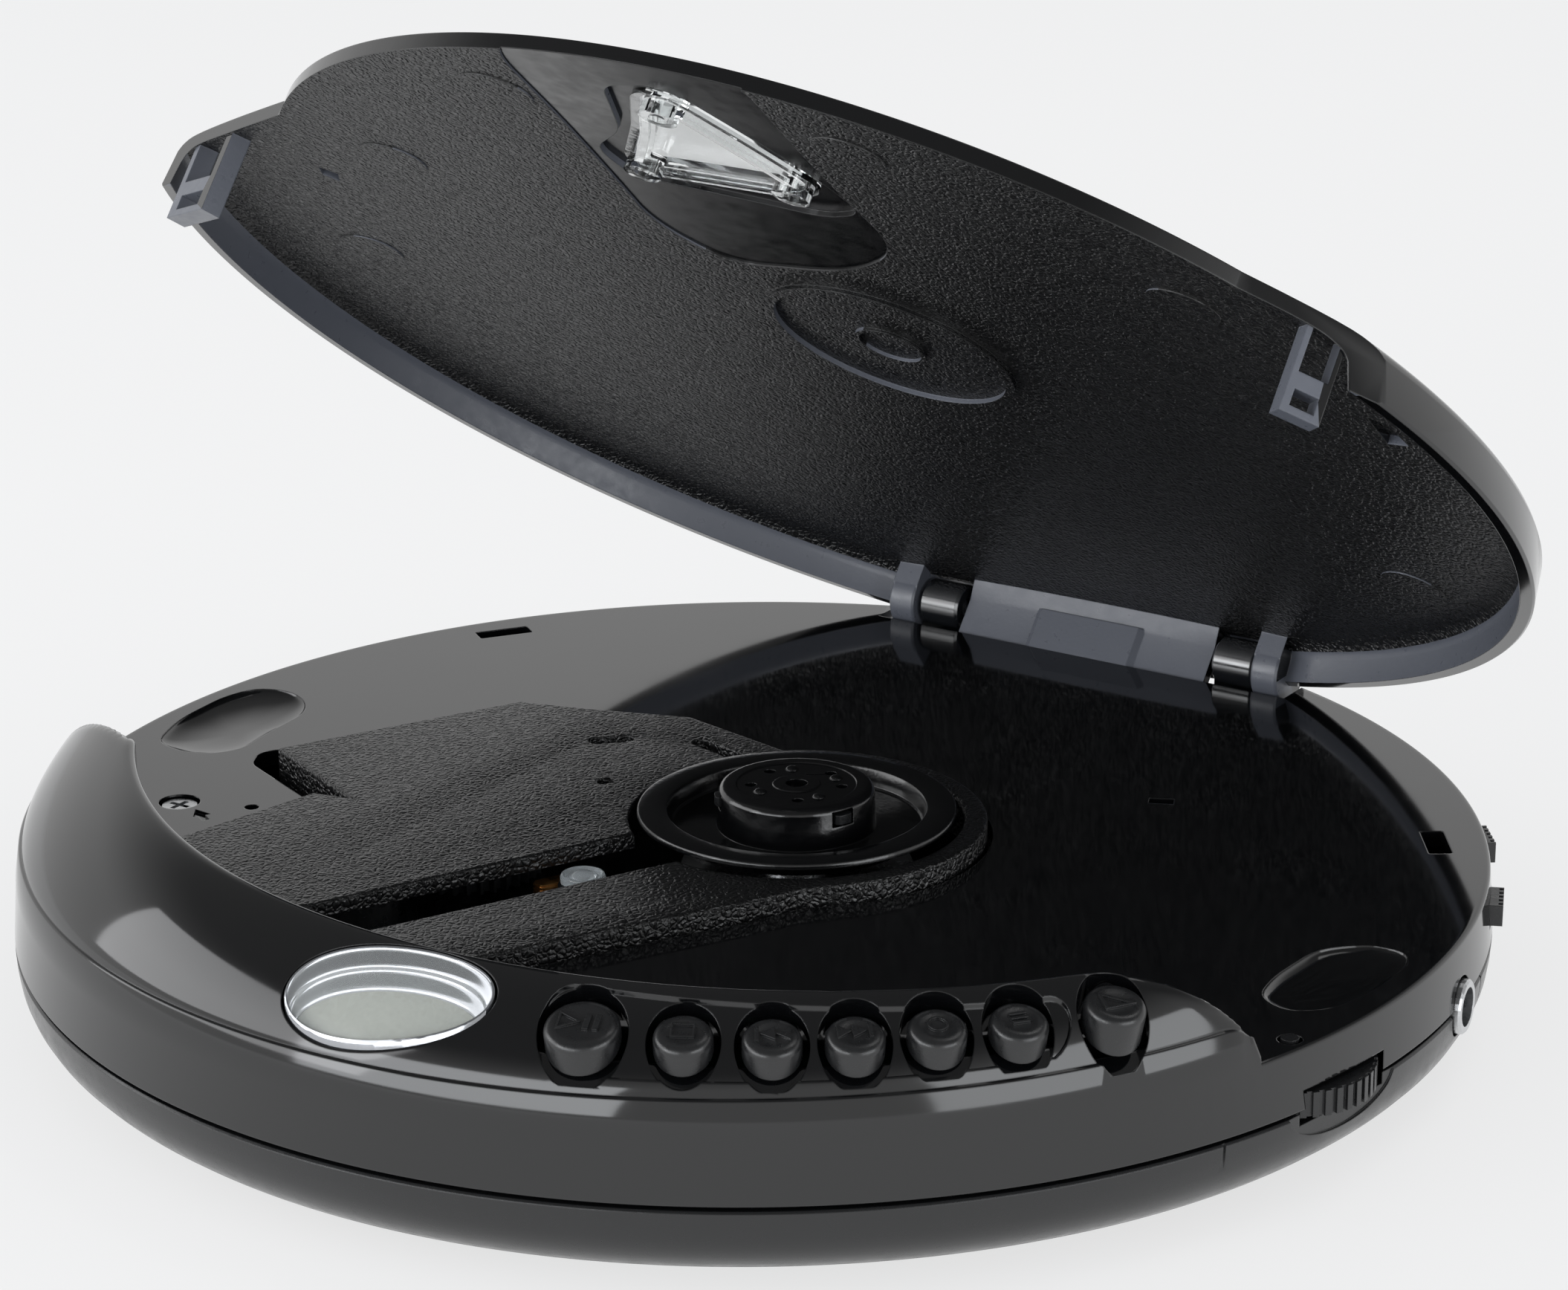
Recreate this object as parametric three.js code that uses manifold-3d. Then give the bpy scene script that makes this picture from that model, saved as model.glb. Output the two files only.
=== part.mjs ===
// Portable compact disc player with a hinged lid, modelled with its lid open.
// Units are millimetres and +Z is up. The origin is the centre of the round body on the plane it rests on,
// -Y is the front with the keys, +Y is the hinge and +X is the side with the sockets.
import * as THREE from 'three';
import { mergeVertices } from 'three/addons/utils/BufferGeometryUtils.js';
import Module from 'manifold-3d';

const wasm = await Module();
wasm.setup();

// Disc and the place of its spindle
const discRadius = 60;
const spindleX = 3.9;
const spindleY = 1.5;

// Round body
const bodyRadius = 69.4;
const sideLean = 0.4;
const footProud = 0.6;
const bellyHeight = 8.1;
const sideHeight = 5.8;
const shellGap = 0.3;
const wall = 1.6;
const rimBevel = 0.4;
const discRise = 2.8;
const bellyFlatRadius = 59;
const bodySteps = 60;

const partZ = footProud + bellyHeight;
const deckZ = partZ + shellGap + sideHeight;
const deckUnderZ = deckZ - wall;
const discZ = deckZ + discRise;
const rimRadius = bodyRadius - sideLean;
const floorZ = footProud + wall;

// General clearances
const clearance = 0.3;
const fitGap = 0.5;
const overrun = 1;
const weldDistance = 0.0001;
const meshTolerance = 0.02;

// Front brow that carries the display and the keys
const browGap = 1.3;
const browCrestInset = 1.1;
const browCrestRise = 3.2;
const browCrestLean = 0.4;
const browRidgeRise = 11.4;
const browRidgeLean = 1.1;
const browRound = 0.5;
const browLeftEnd = [[-44.9, -36.9], [-63.0, -27.0]];
const browRightEnd = [[57.4, -29.8], [64.0, -22.9]];
const endTail = 5;
const browWall = 1.2;
const browStartAngle = -162;
const browStopAngle = -18;
const hollowStopAngle = -24;
const browMiddleAngle = -90;
const browHalfAngle = 60;
const browStep = 6;
const browSlopeShares = [0, 0.25, 0.5, 0.75, 0.92, 1];
const browSkinShare = 1.5;
const displayReach = 15;
const displaySteps = 24;
const browBulgeShares = { base: 1.55, lean: 0.2 };
const browRootShares = { base: 1.28, lean: 0.06 };
const wellRadius = discRadius + browGap;
const browCrestRadius = bodyRadius - browCrestInset;

// Lid, given closed and then turned about its hinge
const openAngle = 38;
const hingeY = 63.7;
const hingeRise = 1.5;
const hingeZ = deckZ + hingeRise;
const lidGap = 0.3;
const lidRadius = 68.7;
const lidCrown = 8.0;
const lidSkin = 1.6;
const lidWall = 1.3;
const lidOuterShares = [[0.291, 0.975], [0.582, 0.888], [0.8, 0.763], [0.903, 0.7], [0.964, 0.637],
  [0.985, 0.563], [0.994, 0.463]];
const lidInnerShares = [[0.291, 0.788], [0.582, 0.7], [0.8, 0.575], [0.903, 0.513], [0.951, 0.475], [0.969, 0.388],
  [0.975, 0.288]];
const lidInnerCrownShare = 0.813;
const lidInnerRimShare = 0.98;
const lidFrontGap = 0.4;
const lidEndGap = 0.5;
const lidRimZ = deckZ + lidGap;

// Hinge
const barrelInnerX = 15.5;
const barrelLength = 4.7;
const barrelRadius = 2.5;
const barrelFootWidth = 3.2;
const earWidth = 3;
const earRadius = 2.6;
const earNeck = 3.4;
const pinRadius = 0.8;
const pinShort = 0.4;
const notchFront = 3.5;
const notchFloorDepth = 3.4;
const notchSideGap = 1.1;
const chordWallInset = 1.7;
const chordWallThickness = 1.2;
const chordWallDrop = 3.4;
const chordSideGap = 0.6;
const chordStep = 0.5;
const chordStepHalf = 6.5;

// Keys
const keyRadius = 2.45;
const playRadius = 3.15;
const openKeyRadius = 2.6;
const keyTilt = 28;
const keyGap = 0.3;
const keyProud = 0.8;
const openKeyProud = 1.5;
const keyChamfer = 0.4;
const keyDepth = 1.7;
const openKeyDepth = 2.6;
const keySlant = 20;
const keyRelief = 0.7;
const keySteps = 20;
const stemRadius = 0.8;
const stemReach = 2.6;
const stemHoleReach = 3.1;
const keyAngles = [-67.8, -60.6, -54.4, -48.6, -42.8, -36.9];
const keySlopeShares = [0.63, 0.64, 0.65, 0.64, 0.62, 0.64];
const keyNames = ['play_button', 'stop_button', 'back_button', 'next_button', 'program_button', 'mode_button'];
const openKeyAngle = -29.7;
const openKeySlopeShare = 0.68;
const boardThickness = 1.2;

// Display, an oval given in plan
const displayAngle = -83.3;
const displayRadius = 64.5;
const displayLong = 19.6;
const displayWide = 6.8;
const displayTurn = 5.5;
const displayGlass = 0.6;
const displayRebate = 1.15;
const displayFlange = 1.1;
const displayPanelThickness = 0.8;

// Mechanism, laid out along the sled's travel from the spindle
const travelAngle = -115;
const lensStart = 23;
const sledStart = 16.6;
const slotHalf = 4;
const coverProud = 1.8;
const coverThickness = 1.5;
const coverSkirt = 1.2;
const coverSkirtDrop = 3.4;
const coverGap = 0.5;
const coverRingRadius = 18;
const coverBore = 15.8;
const platterRadius = 15.1;
const platterThickness = 0.7;
const hubRadius = 7.45;
const hubRise = 2.25;
const hubBossRadius = 4;
const shaftRadius = 0.75;
const boreGap = 0.3;
const chassisRise = 1.8;
const chassisThickness = 1.2;
const motorRadius = 11;
const motorHeight = 6.2;
const rodRadius = 1.2;
const rodSpread = 9;
const rodRise = 3.6;
const sledLength = 9.5;
const sledHeight = 4.2;
const sledHalf = 11.5;
const lensRadius = 2.1;
const lensRise = 1;
const actuatorHeight = 2.8;
const gearModule = 0.5;
const gearTeeth = 12;
const wheelModule = 0.4;
const wheelTeeth = 36;
const pinionTeeth = 10;
const bushRadius = 4;
const bushWaist = 3;

const coverZ = deckZ + coverProud;
const coverUnderZ = coverZ - coverThickness;
const chassisZ = floorZ + chassisRise;
const chassisTopZ = chassisZ + chassisThickness;
const rodZ = chassisTopZ + rodRise;

// Side fittings
const wheelRadius = 8;
const wheelThickness = 2.3;
const wheelProud = 1.3;
const wheelAngle = -9.2;
const wheelRibs = 44;
const wheelRibDepth = 0.3;
const wheelGap = 0.5;
const jackAngle = 9.5;
const jackRadius = 2.5;
const jackBore = 1.8;
const jackLength = 13;
const jackWidth = 6.4;
const jackProud = 0.5;
const switchAngles = [24, 37];
const switchNames = ['bass_switch', 'hold_switch'];
const switchWidth = 4.6;
const switchHeight = 2;
const switchProud = 0.9;
const switchTravel = 2.4;
const powerAngle = 52;
const powerBore = 2.7;
const powerPin = 0.6;

// Battery bay for two slim cells
const cellRadius = 5.25;
const cellLength = 44.5;
const bayCentreY = 45.5;
const bayWall = 1.2;
const bayEndRoom = 1.75;
const baySideRoom = 0.6;
const doorGap = 0.35;
const trunnionRadius = 0.4;
const trunnionGap = 0.25;
const contactThickness = 0.4;
const contactHalf = 4;
const bayHalfX = cellLength / 2 + bayEndRoom;
const bayHalfY = 2 * cellRadius + baySideRoom;

// Finishes
function finish(color, roughness, metalness = 0, opacity = 1) {
  return new THREE.MeshStandardMaterial({ color, roughness, metalness, opacity, transparent: opacity < 1 });
}
const glossBlack = finish(0x101113, 0.12);
const mattBlack = finish(0x1b1c1e, 0.62);
const grainBlack = finish(0x17181a, 0.55);
const keyBlack = finish(0x2a2b2e, 0.35);
const clearPlastic = finish(0xdfe6e8, 0.05, 0, 0.35);
const displayGrey = finish(0xa9ad9c, 0.3);
const steel = finish(0xb4b6b8, 0.28, 1);
const darkSteel = finish(0x55585c, 0.4, 1);
const boardGreen = finish(0x1d4a2c, 0.55);
const brassFoil = finish(0xb0793a, 0.35, 1);
const rubberBlack = finish(0x141414, 0.9);
const whiteNylon = finish(0xd9d6cb, 0.5);

const degree = Math.PI / 180;
const player = new THREE.Group();

// Geometry helpers
function bare(geometry) {
  const copy = geometry.clone();
  copy.deleteAttribute('normal');
  copy.deleteAttribute('uv');
  const merged = mergeVertices(copy, weldDistance);
  const index = merged.index.array;
  const kept = [];
  for (let i = 0; i < index.length; i += 3) {
    const [a, b, c] = [index[i], index[i + 1], index[i + 2]];
    if (a !== b && b !== c && c !== a) kept.push(a, b, c);
  }
  return { positions: merged.attributes.position.array, triangles: kept };
}

function solid(geometry) {
  const { positions, triangles } = bare(geometry);
  let volume = 0;
  const corner = (k) => new THREE.Vector3().fromArray(positions, 3 * k);
  for (let i = 0; i < triangles.length; i += 3) {
    const cross = corner(triangles[i + 1]).cross(corner(triangles[i + 2]));
    volume += corner(triangles[i]).dot(cross);
  }
  const facing = volume < 0 ? triangles.reverse() : triangles;
  const mesh = new wasm.Mesh({ numProp: 3, vertProperties: positions, triVerts: new Uint32Array(facing) });
  return new wasm.Manifold(mesh);
}

function joined(...solids) {
  return solids.reduce((sum, piece) => sum.add(piece));
}

function cutBy(piece, ...tools) {
  return tools.reduce((rest, tool) => rest.subtract(tool), piece);
}

function addPiece(parent, name, piece, material) {
  const data = piece.simplify(meshTolerance).getMesh();
  const geometry = new THREE.BufferGeometry();
  geometry.setAttribute('position', new THREE.BufferAttribute(new Float32Array(data.vertProperties), 3));
  geometry.setIndex(Array.from(data.triVerts));
  geometry.computeVertexNormals();
  const mesh = new THREE.Mesh(geometry, material);
  mesh.name = name;
  parent.add(mesh);
  return mesh;
}

function box(x0, x1, y0, y1, z0, z1) {
  const geometry = new THREE.BoxGeometry(x1 - x0, y1 - y0, z1 - z0);
  return geometry.translate((x0 + x1) / 2, (y0 + y1) / 2, (z0 + z1) / 2);
}

function turned(profile, steps = bodySteps) {
  const points = profile.map(([radius, height]) => new THREE.Vector2(radius, height));
  return new THREE.LatheGeometry(points, steps).rotateX(Math.PI / 2);
}

function rod(radius, z0, z1, steps = 24) {
  return turned([[0, z0], [radius, z0], [radius, z1], [0, z1]], steps);
}

function slab(outline, z0, z1) {
  const shape = new THREE.Shape(outline.map(([x, y]) => new THREE.Vector2(x, y)));
  return new THREE.ExtrudeGeometry(shape, { depth: z1 - z0, bevelEnabled: false }).translate(0, 0, z0);
}

function at(geometry, matrix) {
  return geometry.clone().applyMatrix4(matrix);
}

function polar(radius, angle, centreX = 0, centreY = 0) {
  return [centreX + radius * Math.cos(angle * degree), centreY + radius * Math.sin(angle * degree)];
}

function arc(radius, from, to, steps, centreX = 0, centreY = 0) {
  const points = [];
  for (let i = 0; i <= steps; i += 1) points.push(polar(radius, from + ((to - from) * i) / steps, centreX, centreY));
  return points;
}

function aroundZ(angle, x = 0, y = 0, z = 0) {
  return new THREE.Matrix4().makeTranslation(x, y, z).multiply(new THREE.Matrix4().makeRotationZ(angle * degree));
}

// Triangles that fill a loop of points, each turning the same way as the loop
function capTriangles(loop) {
  const points = loop.map(([x, y]) => new THREE.Vector2(x, y));
  const sense = Math.sign(THREE.ShapeUtils.area(points));
  return THREE.ShapeUtils.triangulateShape(points, []).map(([a, b, c]) => {
    const turn = Math.sign(THREE.ShapeUtils.area([points[a], points[b], points[c]]));
    return turn === sense ? [a, b, c] : [c, b, a];
  });
}

// A closed loft through radial sections, each a loop of [radius, height] at its own angle
function radialLoft(sections) {
  const count = sections[0].loop.length;
  const positions = [];
  const index = [];
  for (const { angle, loop } of sections) {
    for (const [radius, height] of loop) positions.push(...polar(radius, angle), height);
  }
  for (let s = 0; s + 1 < sections.length; s += 1) {
    for (let k = 0; k < count; k += 1) {
      const a = s * count + k;
      const b = s * count + ((k + 1) % count);
      index.push(a, b, b + count, a, b + count, a + count);
    }
  }
  const last = (sections.length - 1) * count;
  for (const [a, b, c] of capTriangles(sections[0].loop)) index.push(c, b, a);
  for (const [a, b, c] of capTriangles(sections.at(-1).loop)) index.push(last + a, last + b, last + c);
  const geometry = new THREE.BufferGeometry();
  geometry.setAttribute('position', new THREE.Float32BufferAttribute(positions, 3));
  geometry.setIndex(index);
  return geometry;
}

// Brow surface: a convex slope from the ridge above the disc well down to the outer crest
function browLean(angle) {
  return (angle - browMiddleAngle) / browHalfAngle;
}

function wellEdge(angle, radius = wellRadius) {
  const along = spindleX * Math.cos(angle * degree) + spindleY * Math.sin(angle * degree);
  return along + Math.sqrt(along ** 2 - spindleX ** 2 - spindleY ** 2 + radius ** 2);
}

function ridgeHeight(angle) {
  return deckZ + browRidgeRise - browRidgeLean * browLean(angle);
}

function crestHeight(angle) {
  return deckZ + browCrestRise + browCrestLean * browLean(angle);
}

function browHeight(angle, radius) {
  const inner = wellEdge(angle);
  const share = Math.min(1, (radius - inner) / (browCrestRadius - inner));
  const bulge = browBulgeShares.base - browBulgeShares.lean * browLean(angle);
  const root = browRootShares.base - browRootShares.lean * browLean(angle);
  const fall = (1 - share ** bulge) ** (1 / root);
  const crest = crestHeight(angle);
  return crest + (ridgeHeight(angle) - crest) * fall;
}

function browPoint(angle, share) {
  const radius = wellEdge(angle) + (browCrestRadius - wellEdge(angle)) * share;
  return [radius, browHeight(angle, radius)];
}

function browLoft(inset, bottomZ, stopAngle) {
  const sections = [];
  for (let angle = browStartAngle; angle <= stopAngle; angle += browStep) {
    const inner = wellEdge(angle) + inset;
    const outer = rimRadius - inset;
    const brink = inner + browRound;
    const reach = browCrestRadius - inset - brink;
    const slope = browSlopeShares.map((share) => {
      const radius = brink + reach * share;
      return [radius, browHeight(angle, radius) - browSkinShare * inset];
    });
    const loop = [[inner, bottomZ], [inner, slope[0][1] - browRound], ...slope, [outer, deckZ], [outer, bottomZ]];
    sections.push({ angle, loop });
  }
  return radialLoft(sections);
}

// The plan region beyond a slanted end of the brow, moved by a distance across the end
function beyondEnd([[x0, y0], [x1, y1]], side, shift) {
  const length = Math.hypot(x1 - x0, y1 - y0);
  const [ux, uy] = [(x1 - x0) / length, (y1 - y0) / length];
  const [nx, ny] = [-uy * side, ux * side];
  const reach = bodyRadius;
  const from = [x0 - ux * endTail + nx * shift, y0 - uy * endTail + ny * shift];
  const to = [x1 + ux * reach + nx * shift, y1 + uy * reach + ny * shift];
  return [from, to, [to[0] + nx * reach, to[1] + ny * reach], [from[0] + nx * reach, from[1] + ny * reach]];
}

function endCutter(shift) {
  const left = slab(beyondEnd(browLeftEnd, -1, shift), -overrun, 2 * discRadius);
  const right = slab(beyondEnd(browRightEnd, 1, shift), -overrun, 2 * discRadius);
  return joined(solid(left), solid(right));
}

// Local frame at a point of the brow, its Z tilted outwards from the vertical
function browFrame(angle, slopeShare, tilt) {
  const [radius, height] = browPoint(angle, slopeShare);
  const [x, y] = polar(radius, angle);
  const turn = new THREE.Matrix4().makeRotationZ(angle * degree);
  const lean = new THREE.Matrix4().makeRotationY(tilt * degree);
  return new THREE.Matrix4().makeTranslation(x, y, height).multiply(turn).multiply(lean);
}

const keyFrames = keyAngles.map((angle, i) => browFrame(angle, keySlopeShares[i], keyTilt));
const keyRadii = keyAngles.map((angle, i) => (i === 0 ? playRadius : keyRadius));
const openFrame = browFrame(openKeyAngle, openKeySlopeShare, keyTilt);

// Space above a slanted floor, in the frame of a key whose floor falls away outwards
function aboveFloor(depth) {
  const half = 4 * openKeyRadius;
  const block = box(-half, half, -half, half, 0, 2 * half);
  return solid(block.rotateY(keySlant * degree).translate(0, 0, -depth));
}

function keyPocket(frame, radius, depth) {
  const reach = 2 * openKeyRadius;
  const bore = solid(rod(radius + keyGap, -reach, reach, keySteps)).intersect(aboveFloor(depth));
  const stemHole = solid(rod(stemRadius + keyGap, -stemHoleReach, 0, 16));
  return joined(bore, stemHole).transform(frame.elements);
}

function keyCap(frame, radius, depth, proud, relief, stem) {
  const reach = 2 * openKeyRadius;
  const profile = [[0, -reach], [radius, -reach], [radius, proud - keyChamfer], [radius - keyChamfer, proud], [0, proud]];
  const cap = solid(turned(profile, keySteps)).intersect(aboveFloor(depth - relief));
  return joined(cap, solid(rod(stemRadius, -stem, 0, 12))).transform(frame.elements);
}
const displayFrame = aroundZ(displayAngle + displayTurn, ...polar(displayRadius, displayAngle));

// The display's oval prism, shrunk by a distance
function displayPrism(shrink, bottomZ) {
  const points = [];
  for (let i = 0; i < displaySteps; i += 1) {
    const turn = (2 * Math.PI * i) / displaySteps;
    points.push([(displayWide / 2 - shrink) * Math.cos(turn), (displayLong / 2 - shrink) * Math.sin(turn)]);
  }
  return solid(at(slab(points, bottomZ, 2 * discRadius), displayFrame));
}

// A layer of the brow between two depths below its surface
function browLayer(upper, lower) {
  return cutBy(solid(browSink(upper)), solid(browSink(lower)));
}

function browSink(depth) {
  const sections = [];
  for (let angle = displayAngle - displayReach; angle <= displayAngle + displayReach; angle += browStep) {
    const slope = browSlopeShares.map((share) => {
      const [radius, height] = browPoint(angle, share);
      return [radius, height - depth];
    });
    sections.push({ angle, loop: [[wellEdge(angle), 0], ...slope, [browCrestRadius, 0]] });
  }
  return radialLoft(sections);
}

// Mechanism frame: X runs from the spindle along the sled's travel, Y points to the front right
const travelFrame = aroundZ(travelAngle, spindleX, spindleY);

function fromTravel(x, y) {
  const point = new THREE.Vector3(x, y, 0).applyMatrix4(travelFrame);
  return [point.x, point.y];
}

// Outline of the grained cover over the mechanism, in shares of the disc's radius
const coverOutlineShares = [[-0.7, -0.617], [-0.64, -0.31], [-0.573, -0.297], [-0.82, -0.182], [-0.687, 0.093],
  [-0.625, 0.217], [-0.5, 0.253], [-0.338, 0.31]];
const coverBarShares = [[0.263, -0.205], [0.24, -0.232], [0.198, -0.322], [0.1, -0.505], [-0.12, -0.93]];

function coverOutline(grow) {
  const left = coverOutlineShares.map(([x, y]) => [x * discRadius, y * discRadius]);
  const ring = arc(coverRingRadius, 128, -45, 20, spindleX, spindleY);
  const bar = coverBarShares.map(([x, y]) => [x * discRadius, y * discRadius]);
  const brim = arc(discRadius + browGap - coverGap, -103, -139, 8, spindleX, spindleY);
  return offset([...left, ...ring, ...bar, ...brim], grow);
}

// Moves every side of a clockwise outline outwards by a distance
function offset(outline, distance) {
  const count = outline.length;
  return outline.map(([x, y], i) => {
    const [px, py] = outline[(i + count - 1) % count];
    const [qx, qy] = outline[(i + 1) % count];
    const before = Math.hypot(x - px, y - py);
    const after = Math.hypot(qx - x, qy - y);
    const [ax, ay] = [-(y - py) / before, (x - px) / before];
    const [bx, by] = [-(qy - y) / after, (qx - x) / after];
    const scale = distance / (1 + ax * bx + ay * by);
    return [x + (ax + bx) * scale, y + (ay + by) * scale];
  });
}

// Side fittings share frames whose X points outwards through the wall
function sideFrame(angle, radius = 0) {
  const [x, y] = polar(radius, angle);
  return aroundZ(angle, x, y);
}

const wheelCentreRadius = bodyRadius + wheelProud - wheelRadius;
const wheelBottomZ = partZ - wheelThickness / 4;
const wheelFrame = sideFrame(wheelAngle, wheelCentreRadius);
const wheelRoom = joined(solid(at(rod(wheelRadius + wheelGap, wheelBottomZ - wheelGap,
  wheelBottomZ + wheelThickness + wheelGap, 40), wheelFrame)));
const jackZ = partZ;
const jackRoom = solid(at(turned([[0, -jackLength], [jackRadius + clearance, -jackLength],
  [jackRadius + clearance, overrun + jackProud], [0, overrun + jackProud]], 28).rotateY(Math.PI / 2),
  aroundZ(jackAngle, ...polar(bodyRadius, jackAngle), jackZ)));
const switchZ = partZ + shellGap + sideHeight / 2;

function switchRoom(angle) {
  const half = (switchWidth + switchTravel) / 2 + clearance;
  const high = switchHeight / 2 + clearance;
  const depth = 3 * wall;
  return solid(at(box(bodyRadius - depth, bodyRadius + overrun, -half, half, switchZ - high, switchZ + high),
    aroundZ(angle)));
}

const powerZ = partZ + shellGap / 2;
const powerRoom = solid(at(turned([[0, -jackLength], [powerBore + clearance, -jackLength],
  [powerBore + clearance, overrun], [0, overrun]], 28).rotateY(Math.PI / 2),
  aroundZ(powerAngle, ...polar(bodyRadius, powerAngle), powerZ)));

// Screws that join the two shells
const caseScrewAngles = [-45, -166, 150, 25];
const caseScrewRadiusShare = 0.87;
const screwRadius = 1;
const screwHeadRadius = 1.9;
const screwHeadHeight = 1.2;
const screwLength = 8;
const postRadius = 2.6;
const postGap = 0.3;
const screwPlaces = caseScrewAngles.map((angle) => polar(bodyRadius * caseScrewRadiusShare, angle));
const screwSink = footProud + 0.5 * wall;

// Bottom shell
const bellyShares = [[0.911, 0.05], [0.955, 0.21], [0.983, 0.43], [0.996, 0.67]];
const footRadius = 4;
const footSink = 0.6;
const footAngles = [35, -35, 145, -145];
const footRadiusShare = 0.74;
const footPlaces = footAngles.map((angle) => polar(bodyRadius * footRadiusShare, angle));
const bushPlaces = [[-13, -16], [46, -22], [40, 13]];
const bushSpots = bushPlaces.map(([x, y]) => fromTravel(x, y));
const boardZ = floorZ + 2.4;

function bellyProfile(inset) {
  const bottom = footProud + inset;
  const curve = bellyShares.map(([radius, height]) => [
    radius * bodyRadius - inset * Math.sqrt(height), footProud + height * bellyHeight + inset * (1 - height)]);
  const top = inset > 0 ? partZ + overrun : partZ;
  return [[0, bottom], [bellyFlatRadius, bottom], ...curve,
    [bodyRadius - inset, partZ - clearance], [bodyRadius - inset, top], [0, top]];
}

function bottomShell() {
  const skin = cutBy(solid(turned(bellyProfile(0))), solid(turned(bellyProfile(wall))));
  const bayTopZ = deckUnderZ - clearance;
  const bayOuter = box(-bayHalfX - bayWall, bayHalfX + bayWall, bayCentreY - bayHalfY - bayWall,
    bayCentreY + bayHalfY + bayWall, floorZ - wall / 2, bayTopZ);
  const bayInner = box(-bayHalfX, bayHalfX, bayCentreY - bayHalfY, bayCentreY + bayHalfY, 0, bayTopZ + overrun);
  let shell = skin.add(solid(bayOuter).intersect(solid(rod(bodyRadius - wall, 0, bayTopZ, bodySteps))));
  for (const [x, y] of screwPlaces) {
    shell = shell.add(solid(rod(postRadius, floorZ - wall / 2, partZ, 12).translate(x, y, 0)));
  }
  for (const [x, y] of bushSpots) {
    shell = shell.add(solid(rod(bushWaist / 2, floorZ - wall / 2, chassisTopZ + overrun, 16).translate(x, y, 0)));
  }
  for (const [x, y] of boardPosts) {
    shell = shell.add(solid(rod(bushWaist / 2, floorZ - wall / 2, boardZ - clearance, 16).translate(x, y, 0)));
  }
  const tools = [solid(bayInner), wheelRoom, jackRoom, powerRoom];
  const axle = turned([[0, -bayHalfX - bayWall - overrun], [trunnionRadius + trunnionGap, -bayHalfX - bayWall - overrun],
    [trunnionRadius + trunnionGap, bayHalfX + bayWall + overrun], [0, bayHalfX + bayWall + overrun]], 16);
  tools.push(solid(axle.rotateY(Math.PI / 2).translate(0, doorAxisY, doorAxisZ)));
  for (const [x, y] of screwPlaces) {
    tools.push(solid(rod(screwRadius + clearance, 0, partZ + overrun, 16).translate(x, y, 0)));
    tools.push(solid(rod(screwHeadRadius + clearance, 0, screwSink + screwHeadHeight, 20).translate(x, y, 0)));
  }
  for (const [x, y] of footPlaces) {
    tools.push(solid(rod(footRadius + clearance, 0, footProud + footSink, 24).translate(x, y, 0)));
  }
  return cutBy(shell, ...tools);
}

const doorAxisY = bayCentreY - bayHalfY + doorGap + wall;
const doorAxisZ = footProud + wall / 2;
const boardPosts = [[18, -30], [44, -30], [54, 12], [33, 16]];
addPiece(player, 'bottom_shell', bottomShell(), mattBlack);

// Battery door, a piece of the bottom skin on two trunnions
function batteryDoor() {
  const skin = cutBy(solid(turned(bellyProfile(0))), solid(turned(bellyProfile(wall))));
  const panel = box(-bayHalfX + doorGap, bayHalfX - doorGap, bayCentreY - bayHalfY + 2 * doorGap,
    bayCentreY + bayHalfY - doorGap, 0, floorZ);
  const reach = bayHalfX + bayWall / 2;
  const axle = turned([[0, -reach], [trunnionRadius, -reach], [trunnionRadius, reach], [0, reach]], 12);
  const grip = solid(rod(cellRadius, 0, footProud + wall / 3, 24).translate(0, bayCentreY + bayHalfY / 2, 0));
  return cutBy(skin.intersect(solid(panel)), grip)
    .add(solid(axle.rotateY(Math.PI / 2).translate(0, doorAxisY, doorAxisZ)));
}
addPiece(player, 'battery_door', batteryDoor(), mattBlack);

// Battery contacts stand against the end walls of the bay
function contact(x, sign, y0, y1) {
  const inner = x - sign * contactThickness;
  const plate = solid(box(Math.min(x, inner), Math.max(x, inner), y0, y1, floorZ + contactHalf / 2,
    floorZ + contactHalf * 2));
  const nose = sign * contactThickness * 2;
  const bump = box(Math.min(inner, inner - nose), Math.max(inner, inner - nose), (y0 + y1) / 2 - contactHalf / 2,
    (y0 + y1) / 2 + contactHalf / 2, floorZ + contactHalf, floorZ + contactHalf * 1.5);
  return plate.add(solid(bump));
}
const contactX = bayHalfX - clearance;
const cellY = cellRadius + baySideRoom / 2;
addPiece(player, 'battery_link', contact(contactX, 1, bayCentreY - cellY - contactHalf / 2,
  bayCentreY + cellY + contactHalf / 2), steel);
addPiece(player, 'battery_contact_1', contact(-contactX, -1, bayCentreY - cellY - contactHalf,
  bayCentreY - cellY + contactHalf), steel);
addPiece(player, 'battery_contact_2', contact(-contactX, -1, bayCentreY + cellY - contactHalf,
  bayCentreY + cellY + contactHalf), steel);

// Rubber feet and case screws
footPlaces.forEach(([x, y], i) => {
  const foot = turned([[0, 0], [footRadius - clearance, 0], [footRadius, clearance],
    [footRadius, footProud + footSink - clearance], [0, footProud + footSink - clearance]], 24);
  addPiece(player, `rubber_foot_${i + 1}`, solid(foot.translate(x, y, 0)), rubberBlack);
});

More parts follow.
